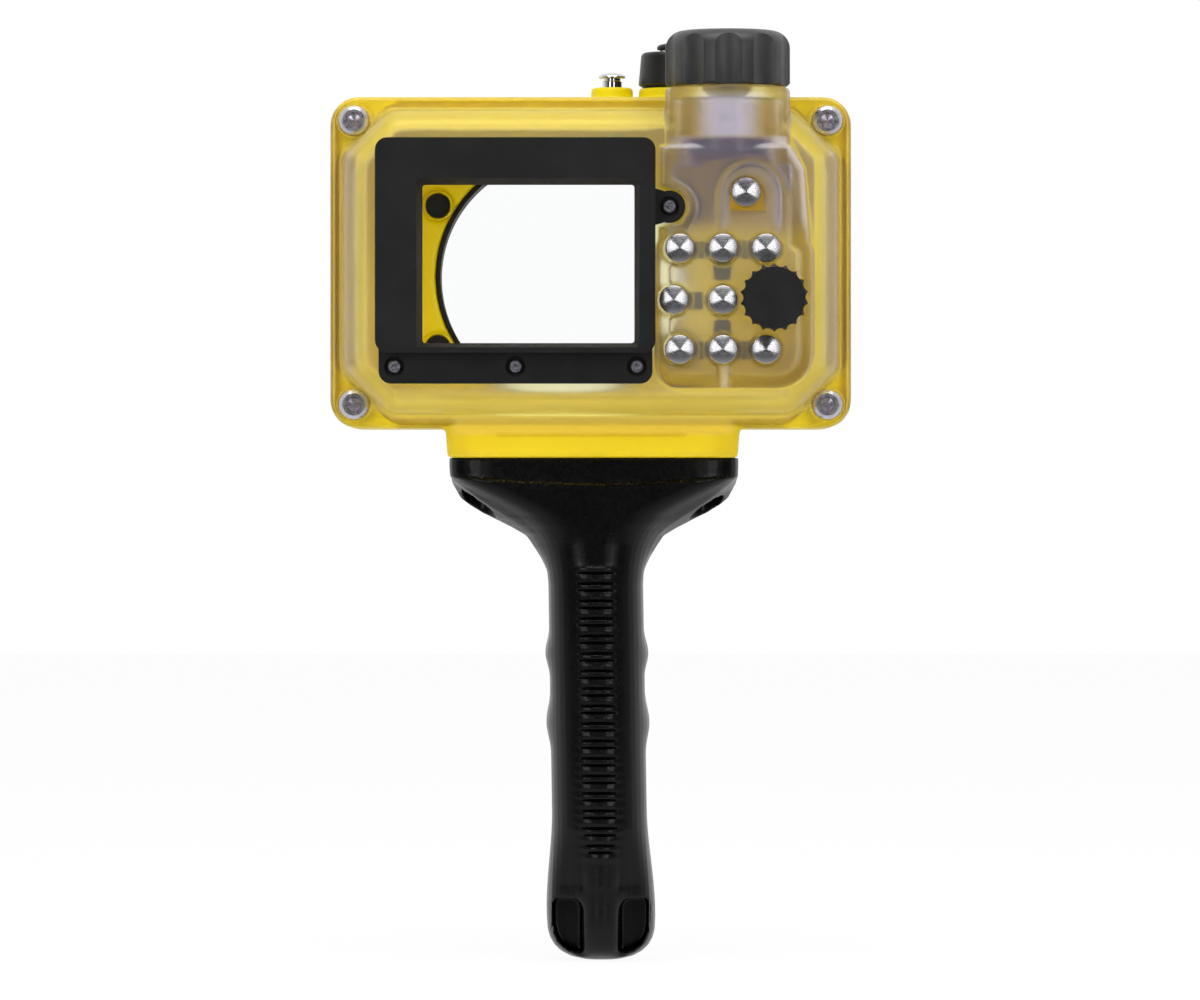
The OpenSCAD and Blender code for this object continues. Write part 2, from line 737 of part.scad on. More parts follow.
module zoom_knob() {
    color(black)
    translate([zoom_x, zoom_y, zoom_knob_b]) difference() {
        rotate_extrude()
            polygon(concat([[0, 0], [zoom_d / 2 - 0.5, 0], [zoom_d / 2, 0.5]],
                           [for (a = [0:22.5:90])
                               [zoom_top_d / 2 - zoom_edge_r * (1 - cos(a)),
                                zoom_h - zoom_edge_r * (1 - sin(a))]],
                           [[0, zoom_h]]));
        rod(dish_d, zoom_h - dish_depth, zoom_h + 1);
        rod(shutter_stem_d + 4 * run_gap, -1, zoom_h);
        rod(zoom_shaft_d + 2 * seat_gap, -1, zoom_grip_len);
    }
}

module zoom_shaft() {
    color(steel)
    translate([zoom_x, zoom_y, 0]) difference() {
        union() {
            rod(zoom_shaft_d, fork_t_z - fork_t, zoom_knob_b + zoom_grip_len);
            rod(fork_d, fork_t_z - fork_t, fork_t_z);
            for (s = [-1, 1])
                translate([0, s * 6, 0]) rod(3, fork_t_z - fork_t - 5, fork_t_z - 1);
        }
        rod(shutter_stem_d + 2 * run_gap, bay_top - 10, zoom_knob_t);
    }
}

module shutter_cap() {
    color(black)
    translate([zoom_x, zoom_y, cap_b]) difference() {
        rotate_extrude()
            polygon(concat([[0, 0], [shutter_d / 2, 0], [shutter_d / 2, shutter_h * 0.4]],
                           [for (a = [15:15:75])
                               [shutter_d / 2 - shutter_h * 0.6 * (1 - cos(a)) - sin(a) * 0.8,
                                shutter_h * (0.4 + 0.6 * sin(a))]],
                           [[0, shutter_h]]));
        rod(shutter_stem_d + 2 * seat_gap, -1, shutter_h * 0.5);
    }
}

module shutter_stem() {
    color(steel)
    translate([zoom_x, zoom_y, 0]) {
        rod(shutter_stem_d, fork_t_z - fork_t - rest_gap - stem_foot_t, cap_b + shutter_h * 0.5);
        rod(shutter_stem_d + 3, fork_t_z - fork_t - rest_gap - stem_foot_t, fork_t_z - fork_t - rest_gap);
    }
}

module shutter_spring() {
    color(steel)
    translate([zoom_x, zoom_y, zoom_knob_t - dish_depth])
        coil_spring(7, 0.45, dish_depth + cap_b - zoom_knob_t, 2.5);
}

// Power button: a mushroom head on a skirt that slides in its boss

power_head_b = power_boss_t + power_travel + 0.6;
power_head_h = 1.6;
power_spring_len = power_travel + 4;
power_foot_t = 2.4;

module power_button() {
    color(steel)
    translate([power_x, power_y, 0]) {
        translate([0, 0, power_head_b]) rotate_extrude()
            polygon([[0, 0], [power_head_d / 2 - 0.3, 0], [power_head_d / 2, 0.3],
                     [power_head_d / 2, power_head_h * 0.5], [power_head_d / 2 - 0.5, power_head_h * 0.8],
                     [power_head_d * 0.3, power_head_h], [0, power_head_h]]);
        rod(power_skirt_d, power_floor + power_spring_len, power_head_b + skin);
        rod(power_stem_d, power_guide_b - rest_gap - power_foot_t, power_floor + power_spring_len + skin);
        rod(power_stem_d + 3, power_guide_b - rest_gap - power_foot_t, power_guide_b - rest_gap);
    }
}

module power_spring() {
    color(steel)
    translate([power_x, power_y, power_floor])
        coil_spring((power_skirt_d + power_stem_d) / 2, 0.5, power_spring_len, 5);
}

// Screen opening, hood and their screws, in the X-Z plane

screen_x = -screen_left;
screen_z = screen_up;
hood_l_x = screen_x - screen_w / 2 - hood_left;
hood_r_x = screen_x + screen_w / 2 + hood_right;
hood_t = screen_z + screen_h / 2 + hood_top;
hood_frame_b = screen_z - screen_h / 2 - hood_bottom;
hood_b = hood_frame_b - hood_foot;
hood_foot_z = hood_b + 4.8;
hood_end = 5.2;
hood_edge = 1;
hood_foot_edge = 0.8;
hood_shank_d = 2.5;
hood_thread = 4;
hood_sink = 2.2;
hood_recess = 1.7;
hood_boss_wall = 2;
lug_out = 4;
lug_up = 16.1;
lug_root = 1.6;
lug_x = hood_r_x + lug_out;
lug_z = screen_z + lug_up;

// Root of the hood's lug between the frame's side and the lug's axis, or its outline d outside
function lug_root_pts(d) = [[hood_r_x, lug_z - lug_r - lug_root - d], [lug_x, lug_z - lug_r - d],
                            [lug_x, lug_z + lug_r + d], [hood_r_x, lug_z + lug_r + lug_root + d]];

hood_spots = [[hood_l_x + hood_end, hood_foot_z], [(hood_l_x + hood_r_x) / 2, hood_foot_z],
              [hood_r_x - hood_end, hood_foot_z], [lug_x, lug_z]];

function screen_pts(out) =
    rounded(box_pts(screen_x - screen_w / 2 - out, screen_z - screen_h / 2 - out,
                    screen_x + screen_w / 2 + out, screen_z + screen_h / 2 + out), 0.8 + out / 2, 3);
function window_pts(out) =
    rounded(box_pts(screen_x - screen_w / 2 - window_lap - out, screen_z - screen_h / 2 - window_lap - out,
                    screen_x + screen_w / 2 + window_lap + out, screen_z + screen_h / 2 + window_lap + out), 2, 3);
function hood_pts(inset) =
    rounded(box_pts(hood_l_x + inset, hood_frame_b + inset, hood_r_x - inset, hood_t - inset),
            hood_r - inset / 2, 5);
function hood_foot_pts(inset) =
    rounded(box_pts(hood_l_x + hood_foot_inset + inset, hood_b + inset,
                    hood_r_x - hood_foot_inset - inset, hood_frame_b + 2 * hood_r), hood_r - inset / 2, 5);

// Push buttons and thumb wheel

button_pitch = 12.2;
outer_column = 13.9;
upper_row = 14.6;
lower_row = 14;
neck_row = 30.4;
neck_column = 6.5;
grid_x = 46.1;
grid_z = -8.4;
upper_left = [grid_x - button_pitch, grid_z + upper_row];
upper_middle = [grid_x, grid_z + upper_row];
upper_right = [grid_x + button_pitch, grid_z + upper_row];
middle_left = [grid_x - outer_column, grid_z];
middle = [grid_x, grid_z];
lower_left = [grid_x - button_pitch, grid_z - lower_row];
lower_middle = [grid_x, grid_z - lower_row];
lower_right = [grid_x + button_pitch, grid_z - lower_row];
on_neck = [grid_x + neck_column, grid_z + neck_row];
button_spots = [upper_left, upper_middle, upper_right, middle_left, middle,
                lower_left, lower_middle, lower_right, on_neck];
thumb_cap_t = 2;
thumb_column = 14.4;
thumb_lift = 0.5;
thumb_x = grid_x + thumb_column;
thumb_z = grid_z + thumb_lift;
head_b = -0.4;
button_well = 5;
button_well_d = 6.4;
button_boss_d = 9.6;
button_boss_len = 9;
button_seal_h = -(button_well + button_boss_len) / 2;
tip_len = 2.8;
tip_d = 3;
clip_lip = 1.1;
clip_t = 0.8;
arm_gap = clip_t + rest_gap + slide_gap;
roller_w = 4;
thumb_boss_d = 11;
thumb_seal_h = -button_boss_len / 2;

// Mode knob's seat on the tower
cone_h = 3.4;
cone_d = 15.4;

// Rear cover

box_cut = bay_cut;
shoulder_h = 9;
box_side_rise = box_rise - shoulder_h;
bump_l = hood_r_x + 0.6;
bump_side = 11;
bump_r = thumb_x + bump_side;
bump_under = 10.8;
bump_over = 4;
bump_b = grid_z - lower_row - bump_under;
bump_t = grid_z + upper_row + bump_over;
bump_edge = 1.5;
tower_d = mode_d + 0.1;
tower_edge = 1.7;
tower_y = split_y - mode_back;
tower_t = body_t + tower_over;
tower_rear_y = tower_y - tower_d / 2 + 0.5;
alcove_r = 8;
alcove_wall = 2.5;
alcove_x = on_neck[0] + 1.4;
alcove_z = on_neck[1] - 0.5;
neck_edge = 2.2;
neck_r = bump_r - 1.2;
neck_l = mode_x - tower_d / 2 - 1.1;
ledge_r = mode_x + tower_d / 2 + 0.1;
tower_b = alcove_z + alcove_r + alcove_wall + 0.8;
ledge_t = tower_b + neck_edge;
neck_bend_z = ledge_t - 7;
neck_bend_x = mix(ledge_r, neck_r, 0.7);
neck_boss_w = 10.8;
neck_boss_drop = 5.8;
bump_rib_w = 3;
mode_boss_d = 15.7;
lug_relief = 0.8;

// Outline of the raised box, i inside its foot
function raised_pts(i) =
    cut_body_pts(box_inset + i, box_cut - cut_share * i, max(6 - i / 2, 2));
function bump_pts(i) =
    rounded(box_pts(bump_l + i, bump_b + i, bump_r - i, bump_t - i),
            [max(5.7 - i, 1), max(10 - i, 1), max(6 - i, 1), max(5 - i, 1)]);

module rear_cover() {
    color(frost)
    difference() {
        union() {
            hull() {
                slab(split_y - flange_t + flange_edge_r, split_y) polygon(body_pts(0));
                for (a = [30:30:90])
                    slab(split_y - flange_t + flange_edge_r * (1 - sin(a)), split_y - 1)
                        polygon(body_pts(flange_edge_r * (1 - cos(a))));
            }
            hull() {
                slab(split_y - flange_t + flange_edge_r, split_y)
                    polygon(pedestal_pts(0, pedestal_b + slide_gap));
                slab(split_y - flange_t, split_y - 1)
                    polygon(pedestal_pts(flange_edge_r, pedestal_b + slide_gap + flange_edge_r));
            }
            hull() {
                slab(split_y - box_side_rise, split_y - 1) polygon(raised_pts(0));
                for (a = [22.5:22.5:90])
                    slab(split_y - box_side_rise - shoulder_h * sin(a), split_y - 1)
                        polygon(raised_pts(box_shoulder * (1 - cos(a))));
            }
            hull()
                for (a = [0:30:90])
                    slab(bump_y + bump_edge * (1 - sin(a)), split_y - 1)
                        polygon(bump_pts(bump_edge * (1 - cos(a))));
            neck();
            intersection() {
                translate([mode_x, tower_y, 0]) rotate_extrude()
                    polygon(concat([[0, tower_b], [tower_d / 2, tower_b]],
                                   [for (a = [0:22.5:90])
                                       [tower_d / 2 - tower_edge * (1 - cos(a)),
                                        tower_t - tower_edge * (1 - sin(a))]],
                                   [[0, tower_t]]));
                translate([0, split_y - 2 * tower_d, 0]) cube([2 * tower_d, 2 * tower_d - skin, 2 * tower_t]);
            }
        }
        cover_hollow();
        alcove(alcove_r, bump_y);
        facing_user(lug_x, lug_z, box_y) rod(2 * (lug_r + lug_relief), 0, 2 * tower_d);
        slab(box_y - 2 * tower_d, box_y) polygon(lug_root_pts(lug_relief));
        for (p = screw_spots)
            facing_user(p[0], p[1], split_y) {
                rod(corner_shank_d + hole_gap, -1, flange_t + 1);
                rod(corner_head_d + hole_gap, flange_t - corner_head_sink, flange_t + reach);
            }
        for (p = button_spots)
            facing_user(p[0], p[1], bump_y) button_bore();
        facing_user(thumb_x, thumb_z, bump_y) {
            rod(thumb_shaft_d + 2 * run_gap, -button_boss_len - 1, 1);
            translate([0, 0, thumb_seal_h]) gland_groove(thumb_shaft_d);
        }
        translate([mode_x, tower_y, 0]) {
            rod(mode_shaft_d + 2 * run_gap, mode_boss_b - 1, tower_t + 1);
            translate([0, 0, mode_seal_z]) gland_groove(mode_shaft_d);
            translate([0, 0, tower_t - cone_h]) cylinder(d1 = mode_shaft_d + 1, d2 = cone_d, h = cone_h);
            translate([0, 0, tower_t - skin]) cylinder(d = cone_d, h = 1);
        }
        slab(box_y - 1, box_y + window_t) polygon(window_pts(rest_gap));
        slab(box_y - 1, split_y) polygon(screen_pts(0.6));
        for (p = hood_spots)
            facing_user(p[0], p[1], box_y) rod(hood_shank_d + 2 * seat_gap, -hood_thread - 0.5, 1);
    }
}

// Sloping neck from the control bump up to a ledge at the tower's foot
module neck() {
    bend = (ledge_t - neck_bend_z) / (ledge_t - bump_t);
    hull() {
        for (x = [neck_l + neck_edge, neck_r - neck_edge])
            translate([x, bump_y + neck_edge, bump_t - 2]) sphere(neck_edge, $fn = hull_fn);
        translate([neck_bend_x - neck_edge, mix(tower_rear_y, bump_y, bend) + neck_edge, neck_bend_z])
            sphere(neck_edge, $fn = hull_fn);
        for (x = [neck_l + neck_edge, ledge_r - neck_edge])
            translate([x, tower_rear_y + neck_edge, tower_b]) sphere(neck_edge, $fn = hull_fn);
        slab(box_y, split_y - 1)
            polygon([[neck_l, bump_t - 5], [neck_r, bump_t - 5], [neck_r, bump_t], [neck_bend_x, neck_bend_z],
                     [ledge_r, ledge_t], [neck_l, ledge_t]]);
    }
}

// Arched flat seat for the button on the neck, r its radius
module alcove(r, y_seat) {
    slab(y_seat - reach, y_seat)
        polygon(concat([[alcove_x + r, bump_t - 4], [alcove_x + r, alcove_z]],
                       [for (a = [15:15:165]) [alcove_x + r * cos(a), alcove_z + r * sin(a)]],
                       [[alcove_x - r, alcove_z], [alcove_x - r, bump_t - 4]]));
}

// The cover's hollow: box, bump, neck and tower, less the bosses that stand in it
module cover_hollow() {
    neck_in_l = neck_l + cover_wall;
    difference() {
        union() {
            slab(split_y - box_side_rise + 2, split_y + 1) polygon(raised_pts(cover_wall));
            slab(box_y + cover_wall, split_y) polygon(raised_pts(box_shoulder - 2.5));
            slab(bump_y + cover_wall, split_y) polygon(bump_pts(cover_wall));
            translate([neck_in_l, 0, 0]) rotate([90, 0, 90]) linear_extrude(ledge_r - neck_in_l)
                polygon([[split_y, bump_t - 6], [bump_y + cover_wall, bump_t - 6],
                         [bump_y + cover_wall, bump_t - 1],
                         [tower_rear_y + cover_wall + 1.2, tower_b - 2.8], [split_y, tower_b - 2.8]]);
            translate([mode_x, tower_y, 0]) rod(tower_d - 2 * cover_wall, tower_b - 3, tower_t - cover_wall);
        }
        alcove(alcove_r + alcove_wall, bump_y + cover_wall);
        facing_user(lug_x, lug_z, box_y + cover_wall) rod(2 * (lug_r + lug_relief + alcove_wall), 0, reach);
        for (p = button_spots)
            facing_user(p[0], p[1], bump_y) rod(button_boss_d, -button_boss_len, -2);
        facing_user(thumb_x, thumb_z, bump_y) rod(thumb_boss_d, -button_boss_len, -2);
        facing_user(on_neck[0], on_neck[1], bump_y)
            translate([-neck_boss_w / 2, -neck_boss_drop, -button_boss_len])
                cube([neck_boss_w, neck_boss_drop, button_boss_len - 2]);
        facing_user(lower_middle[0], bump_b, bump_y)
            translate([-bump_rib_w / 2, 1, -button_boss_len])
                cube([bump_rib_w, bump_under - button_stem_d, button_boss_len - 2]);
        translate([mode_x, tower_y, 0]) rod(mode_boss_d, mode_boss_b, tower_t - 1);
        for (p = hood_spots)
            facing_user(p[0], p[1], box_y)
                rod(hood_shank_d + 2 * hood_boss_wall, -hood_thread - hood_boss_wall, 0);
    }
}

module cover_screws() {
    color(steel)
    for (p = screw_spots)
        facing_user(p[0], p[1], split_y - flange_t + corner_head_sink)
            cap_screw(corner_head_d, corner_head_h, corner_shank_d, corner_shank_len);
}

module cover_seals() {
    color(rubber) {
        for (p = button_spots)
            facing_user(p[0], p[1], bump_y) translate([0, 0, button_seal_h]) gland_ring(button_stem_d);
        facing_user(thumb_x, thumb_z, bump_y) translate([0, 0, thumb_seal_h]) gland_ring(thumb_shaft_d);
        translate([mode_x, tower_y, mode_seal_z]) gland_ring(mode_shaft_d);
    }
}

// Screen window and its hood

module lcd_window() {
    color(clear)
    slab(box_y, box_y + window_t) polygon(window_pts(0));
}

module lcd_hood() {
    color(black)
    difference() {
        union() {
            hull() {
                slab(box_y - hood_rise + hood_edge, box_y) polygon(hood_pts(0));
                slab(box_y - hood_rise, box_y) polygon(hood_pts(hood_edge));
            }
            hull() {
                slab(box_y - hood_foot_rise + hood_foot_edge, box_y) polygon(hood_foot_pts(0));
                slab(box_y - hood_foot_rise, box_y) polygon(hood_foot_pts(hood_foot_edge));
            }
            slab(box_y - hood_foot_rise, box_y)
                polygon(concat([for (x = [hood_r_x - hood_r, hood_r_x]) [x, lug_z - lug_r - lug_root]],
                               [for (a = [-75:15:75]) [lug_x + lug_r * cos(a), lug_z + lug_r * sin(a)]],
                               [for (x = [hood_r_x, hood_r_x - hood_r]) [x, lug_z + lug_r + lug_root]]));
        }
        hull() {
            slab(box_y - hood_rise - 0.5, box_y - hood_rise) polygon(screen_pts(hood_draft));
            slab(box_y, box_y + 1) polygon(screen_pts(0));
        }
        for (p = hood_spots)
            facing_user(p[0], p[1], box_y) {
                rod(hood_shank_d + hole_gap, -1, hood_rise);
                rod(hood_head_d + hood_recess, hood_foot_rise - hood_sink, hood_foot_rise + reach);
            }
    }
}

module hood_screws() {
    color(steel)
    for (p = hood_spots)
        facing_user(p[0], p[1], box_y - hood_foot_rise + hood_sink)
            cap_screw(hood_head_d, hood_sink - 0.3, hood_shank_d, hood_foot_rise - hood_sink + hood_thread);
}

// Mode knob on the tower: fluted knob, shaft, and the cup that turns the camera's dial

mode_knob_b = tower_t + 0.2;
mode_cap_t = 5;
mode_flute_r = 7.4;
mode_flute_depth = 1.5;
mode_clip_t = 0.9;
cup_wall = 2;
cup_floor = 1.6;
cup_hub_lift = 0.4;
mode_shaft_b = alcove_z + alcove_r + alcove_wall + 0.6;
mode_boss_b = mode_shaft_b + cup_h + mode_clip_t + slide_gap;
mode_seal_z = (mode_boss_b + tower_t - cone_h) / 2;

module mode_knob() {
    color(black)
    translate([mode_x, tower_y, mode_knob_b]) difference() {
        union() {
            intersection() {
                linear_extrude(mode_h) difference() {
                    circle(d = mode_d);
                    for (i = [0:mode_flutes - 1])
                        rotate(360 * (i + 0.5) / mode_flutes)
                            translate([mode_d / 2 - mode_flute_depth + mode_flute_r, 0])
                                circle(mode_flute_r);
                }
                rotate_extrude()
                    polygon(concat([[0, 0], [mode_d / 2 - 0.6, 0], [mode_d / 2 + skin, 0.6]],
                                   [for (a = [0:15:90])
                                       [mode_d / 2 + skin - mode_edge_r * (1 - cos(a)),
                                        mode_h - mode_edge_r * (1 - sin(a))]],
                                   [[0, mode_h]]));
            }
            translate([0, 0, -cone_h]) cylinder(d1 = mode_shaft_d + 0.4, d2 = cone_d - 0.6, h = cone_h + skin);
        }
        rod(mode_shaft_d + 2 * seat_gap, -cone_h - 1, mode_h - mode_cap_t);
    }
}

module mode_shaft() {
    color(steel)
    translate([mode_x, tower_y, 0]) {
        rod(mode_shaft_d, mode_shaft_b, mode_knob_b + mode_h - mode_cap_t - rest_gap);
        rod(mode_shaft_d + 4, mode_boss_b - rest_gap - mode_clip_t, mode_boss_b - rest_gap);
    }
}

module mode_cup() {
    color(black)
    translate([mode_x, tower_y, mode_shaft_b]) difference() {
        rod(cup_d, 0, cup_h);
        difference() {
            rod(cup_d - 2 * cup_wall, -1, cup_h - cup_floor);
            rod(mode_shaft_d + 2 * cup_wall, cup_hub_lift, cup_h);
        }
        rod(mode_shaft_d + 2 * seat_gap, -1, cup_h + 1);
    }
}

// Thumb wheel: scalloped wheel, shaft, and the rubber roller on the camera's rear dial

module thumb_knob() {
    color(black)
    facing_user(thumb_x, thumb_z, bump_y) difference() {
        intersection() {
            translate([0, 0, 0.5]) linear_extrude(thumb_h) difference() {
                circle(d = thumb_d);
                for (i = [0:thumb_scallops - 1])
                    rotate(360 * i / thumb_scallops) translate([thumb_d / 2 + 0.45, 0]) circle(d = 2.6);
            }
            translate([0, 0, 0.5]) rotate_extrude()
                polygon([[0, 0], [thumb_d / 2 - 0.5, 0], [thumb_d / 2 + skin, 0.5],
                         [thumb_d / 2 + skin, thumb_h - 1], [thumb_d / 2 - 1, thumb_h], [0, thumb_h]]);
        }
        rod(thumb_shaft_d + 2 * seat_gap, 0, thumb_h - thumb_cap_t);
    }
}

module thumb_shaft() {
    color(steel)
    facing_user(thumb_x, thumb_z, bump_y) {
        rod(thumb_shaft_d, -button_boss_len - arm_gap - roller_w, thumb_h - thumb_cap_t - seat_gap);
        rod(thumb_shaft_d + 2 * clip_lip, -button_boss_len - rest_gap - clip_t, -button_boss_len - rest_gap);
    }
}

module thumb_roller() {
    color(rubber)
    facing_user(thumb_x, thumb_z, bump_y) difference() {
        rod(thumb_roller_d, -button_boss_len - arm_gap - roller_w, -button_boss_len - arm_gap);
        rod(thumb_shaft_d + 2 * seat_gap, -button_boss_len - arm_gap - roller_w - 1, 0);
    }
}

// Push buttons. Heights are over the control bump's face, towards the user

module button_bore() {
    rod(button_d + 0.8, -button_travel - 0.6, reach);
    rod(button_well_d, -button_well, 1);
    rod(button_stem_d + 2 * run_gap, -button_boss_len - 1, 1);
    translate([0, 0, button_seal_h]) gland_groove(button_stem_d);
}

// Stem and head; a button without an arm has the longer stem
module button(spot, has_arm) {
    r = button_d / 2;
    arm_b = -button_boss_len - arm_gap - arm_t;
    color(steel)
    facing_user(spot[0], spot[1], bump_y) {
        rod(button_stem_d, has_arm ? arm_b : arm_b - tip_len, head_b + skin);
        rod(button_stem_d + 2 * clip_lip, -button_boss_len - rest_gap - clip_t, -button_boss_len - rest_gap);
        translate([0, 0, head_b]) rotate_extrude()
            polygon([[0, 0], [r - 0.2, 0], [r, 0.2], [r, button_h - 1.1], [r - 0.35, button_h - 0.75],
                     [0.5, button_h], [0, button_h]]);
    }
}

module button_spring(spot) {
    color(steel)
    facing_user(spot[0], spot[1], bump_y) translate([0, 0, -button_well])
        coil_spring(button_stem_d + 1.6, button_wire_d, button_well + head_b, 4);
}

// Offset arm that carries the push to a camera button at one side, turned about the stem
module arm(spot, turn) {
    color(black)
    facing_user(spot[0], spot[1], bump_y)
        translate([0, 0, -button_boss_len - arm_gap - arm_t]) rotate(turn) difference() {
            union() {
                linear_extrude(arm_t)
                    polygon(rounded(box_pts(-arm_w / 2, -arm_w / 2, arm_len + arm_w / 2, arm_w / 2), 1.6));
                translate([arm_len, 0, -tip_len]) cylinder(d = tip_d, h = tip_len + 1);
            }
            rod(button_stem_d + 2 * seat_gap, -1, arm_t + 1);
        }
}

front_shell();
cover_inserts();
main_seal();
port_ring();
port_retainer();
port_glass();
port_seal();
port_screws();
port_inserts();
handle();
handle_screws();
handle_inserts();
shell_seals();
zoom_knob();
zoom_shaft();
shutter_cap();
shutter_stem();
shutter_spring();
power_button();
power_spring();
rear_cover();
cover_screws();
cover_seals();
lcd_window();
lcd_hood();
hood_screws();
mode_knob();
mode_shaft();
mode_cup();
thumb_knob();
thumb_shaft();
thumb_roller();
button(upper_left, true);  // button_upper_left
button(upper_middle, true);  // button_upper_middle
button(upper_right, true);  // button_upper_right
button(middle_left, true);  // button_middle_left
button(middle, false);  // button_middle
button(lower_left, true);  // button_lower_left
button(lower_middle, true);  // button_lower_middle
button(lower_right, true);  // button_lower_right
button(on_neck, false);  // button_tower
button_spring(upper_left);  // spring_upper_left
button_spring(upper_middle);  // spring_upper_middle
button_spring(upper_right);  // spring_upper_right
button_spring(middle_left);  // spring_middle_left
button_spring(middle);  // spring_middle
button_spring(lower_left);  // spring_lower_left
button_spring(lower_middle);  // spring_lower_middle
button_spring(lower_right);  // spring_lower_right
button_spring(on_neck);  // spring_tower
arm(upper_left, 0);  // arm_upper_left
arm(upper_middle, 270);  // arm_upper_middle
arm(upper_right, 180);  // arm_upper_right
arm(middle_left, 0);  // arm_middle_left
arm(lower_left, 0);  // arm_lower_left
arm(lower_middle, 90);  // arm_lower_middle
arm(lower_right, 180);  // arm_lower_right
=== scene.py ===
import math

import bmesh
import bpy
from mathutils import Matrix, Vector


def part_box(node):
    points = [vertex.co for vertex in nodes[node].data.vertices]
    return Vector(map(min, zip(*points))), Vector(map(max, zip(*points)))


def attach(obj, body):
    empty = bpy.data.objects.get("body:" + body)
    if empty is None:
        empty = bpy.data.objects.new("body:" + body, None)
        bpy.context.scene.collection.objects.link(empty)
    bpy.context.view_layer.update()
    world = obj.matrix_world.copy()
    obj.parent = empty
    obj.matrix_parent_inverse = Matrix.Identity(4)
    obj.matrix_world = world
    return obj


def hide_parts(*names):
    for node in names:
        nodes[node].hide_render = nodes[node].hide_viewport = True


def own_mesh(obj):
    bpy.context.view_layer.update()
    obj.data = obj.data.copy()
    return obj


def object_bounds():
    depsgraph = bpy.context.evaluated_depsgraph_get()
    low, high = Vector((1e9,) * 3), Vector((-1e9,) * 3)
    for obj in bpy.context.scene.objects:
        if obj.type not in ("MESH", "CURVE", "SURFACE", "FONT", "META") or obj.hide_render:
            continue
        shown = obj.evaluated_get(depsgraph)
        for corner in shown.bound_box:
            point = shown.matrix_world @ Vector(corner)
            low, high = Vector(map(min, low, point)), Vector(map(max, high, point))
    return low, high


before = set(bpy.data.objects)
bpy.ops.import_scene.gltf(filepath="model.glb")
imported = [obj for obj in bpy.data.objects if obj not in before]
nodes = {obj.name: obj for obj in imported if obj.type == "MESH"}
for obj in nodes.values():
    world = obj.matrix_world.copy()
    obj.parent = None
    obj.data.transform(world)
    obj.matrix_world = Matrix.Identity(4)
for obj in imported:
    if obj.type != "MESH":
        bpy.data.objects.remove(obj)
cad_low, cad_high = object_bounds()
MM = 0.001

# Camera
# It stands two metres behind the housing and looks level along the lens axis, as the photograph was taken.
JOINT_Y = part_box("front_shell")[0].y
VIEW_DISTANCE = 2.0
VIEW_X = 11.4 * MM
VIEW_Z = -64.9 * MM
LENS_MM = 210.0
bpy.ops.object.camera_add(location=(VIEW_X, JOINT_Y - VIEW_DISTANCE, VIEW_Z), rotation=(math.pi / 2, 0, 0))
camera = bpy.context.object
camera.data.sensor_width = 36.0
camera.data.lens = LENS_MM
camera.data.clip_start = 0.1
bpy.context.scene.camera = camera
bpy.context.scene.view_settings.view_transform = "Standard"


# Studio
# A white surround, as in the photograph: dimmer towards the camera, so that metal and black plastic have
# something dark to show, with a soft box above and a tall strip at each side.
def link(tree, source, target):
    tree.links.new(source, target)


def math_node(tree, operation, first, second):
    node = tree.nodes.new("ShaderNodeMath")
    node.operation = operation
    for socket, value in zip(node.inputs, (first, second)):
        if isinstance(value, (int, float)):
            socket.default_value = value
        else:
            link(tree, value, socket)
    return node.outputs[0]


def seen_rays(tree):
    """1 for rays that look straight at the surround or through glass, and 1 for rays off metal or plastic,
    also where they then leave through glass."""
    path = tree.nodes.new("ShaderNodeLightPath")
    mirrored = math_node(tree, "MINIMUM", path.outputs["Glossy Depth"], 1.0)
    straight = math_node(tree, "SUBTRACT", 1.0, mirrored)
    through = math_node(tree, "MULTIPLY", path.outputs["Is Transmission Ray"], straight)
    seen = math_node(tree, "MAXIMUM", path.outputs["Is Camera Ray"], through)
    behind = math_node(tree, "MULTIPLY", path.outputs["Is Transmission Ray"], mirrored)
    return seen, math_node(tree, "MAXIMUM", path.outputs["Is Glossy Ray"], behind)


def background(tree, strength):
    node = tree.nodes.new("ShaderNodeBackground")
    node.inputs["Color"].default_value = (1, 1, 1, 1)
    node.inputs["Strength"].default_value = strength
    return node


def coordinates(tree, kind):
    return tree.nodes.new("ShaderNodeTexCoord").outputs[kind]


def axes_of(tree, vector):
    """The X, Y and Z outputs of a vector."""
    node = tree.nodes.new("ShaderNodeSeparateXYZ")
    link(tree, vector, node.inputs[0])
    return node.outputs


def remap(tree, value, start, end, low, high, interpolation="LINEAR"):
    """Goes from low to high while a value goes from start to end, and stays there outside them."""
    node = tree.nodes.new("ShaderNodeMapRange")
    node.interpolation_type = interpolation
    names = ("From Min", "From Max", "To Min", "To Max")
    for name, number in zip(names, (start, end, low, high)):
        node.inputs[name].default_value = number
    link(tree, value, node.inputs["Value"])
    return node.outputs["Result"]


def choose(tree, factor, first, second):
    """The first shader where the factor is 0, and the second where it is 1."""
    mix = tree.nodes.new("ShaderNodeMixShader")
    for socket, source in zip(mix.inputs, (factor, first, second)):
        link(tree, source, socket)
    return mix.outputs[0]


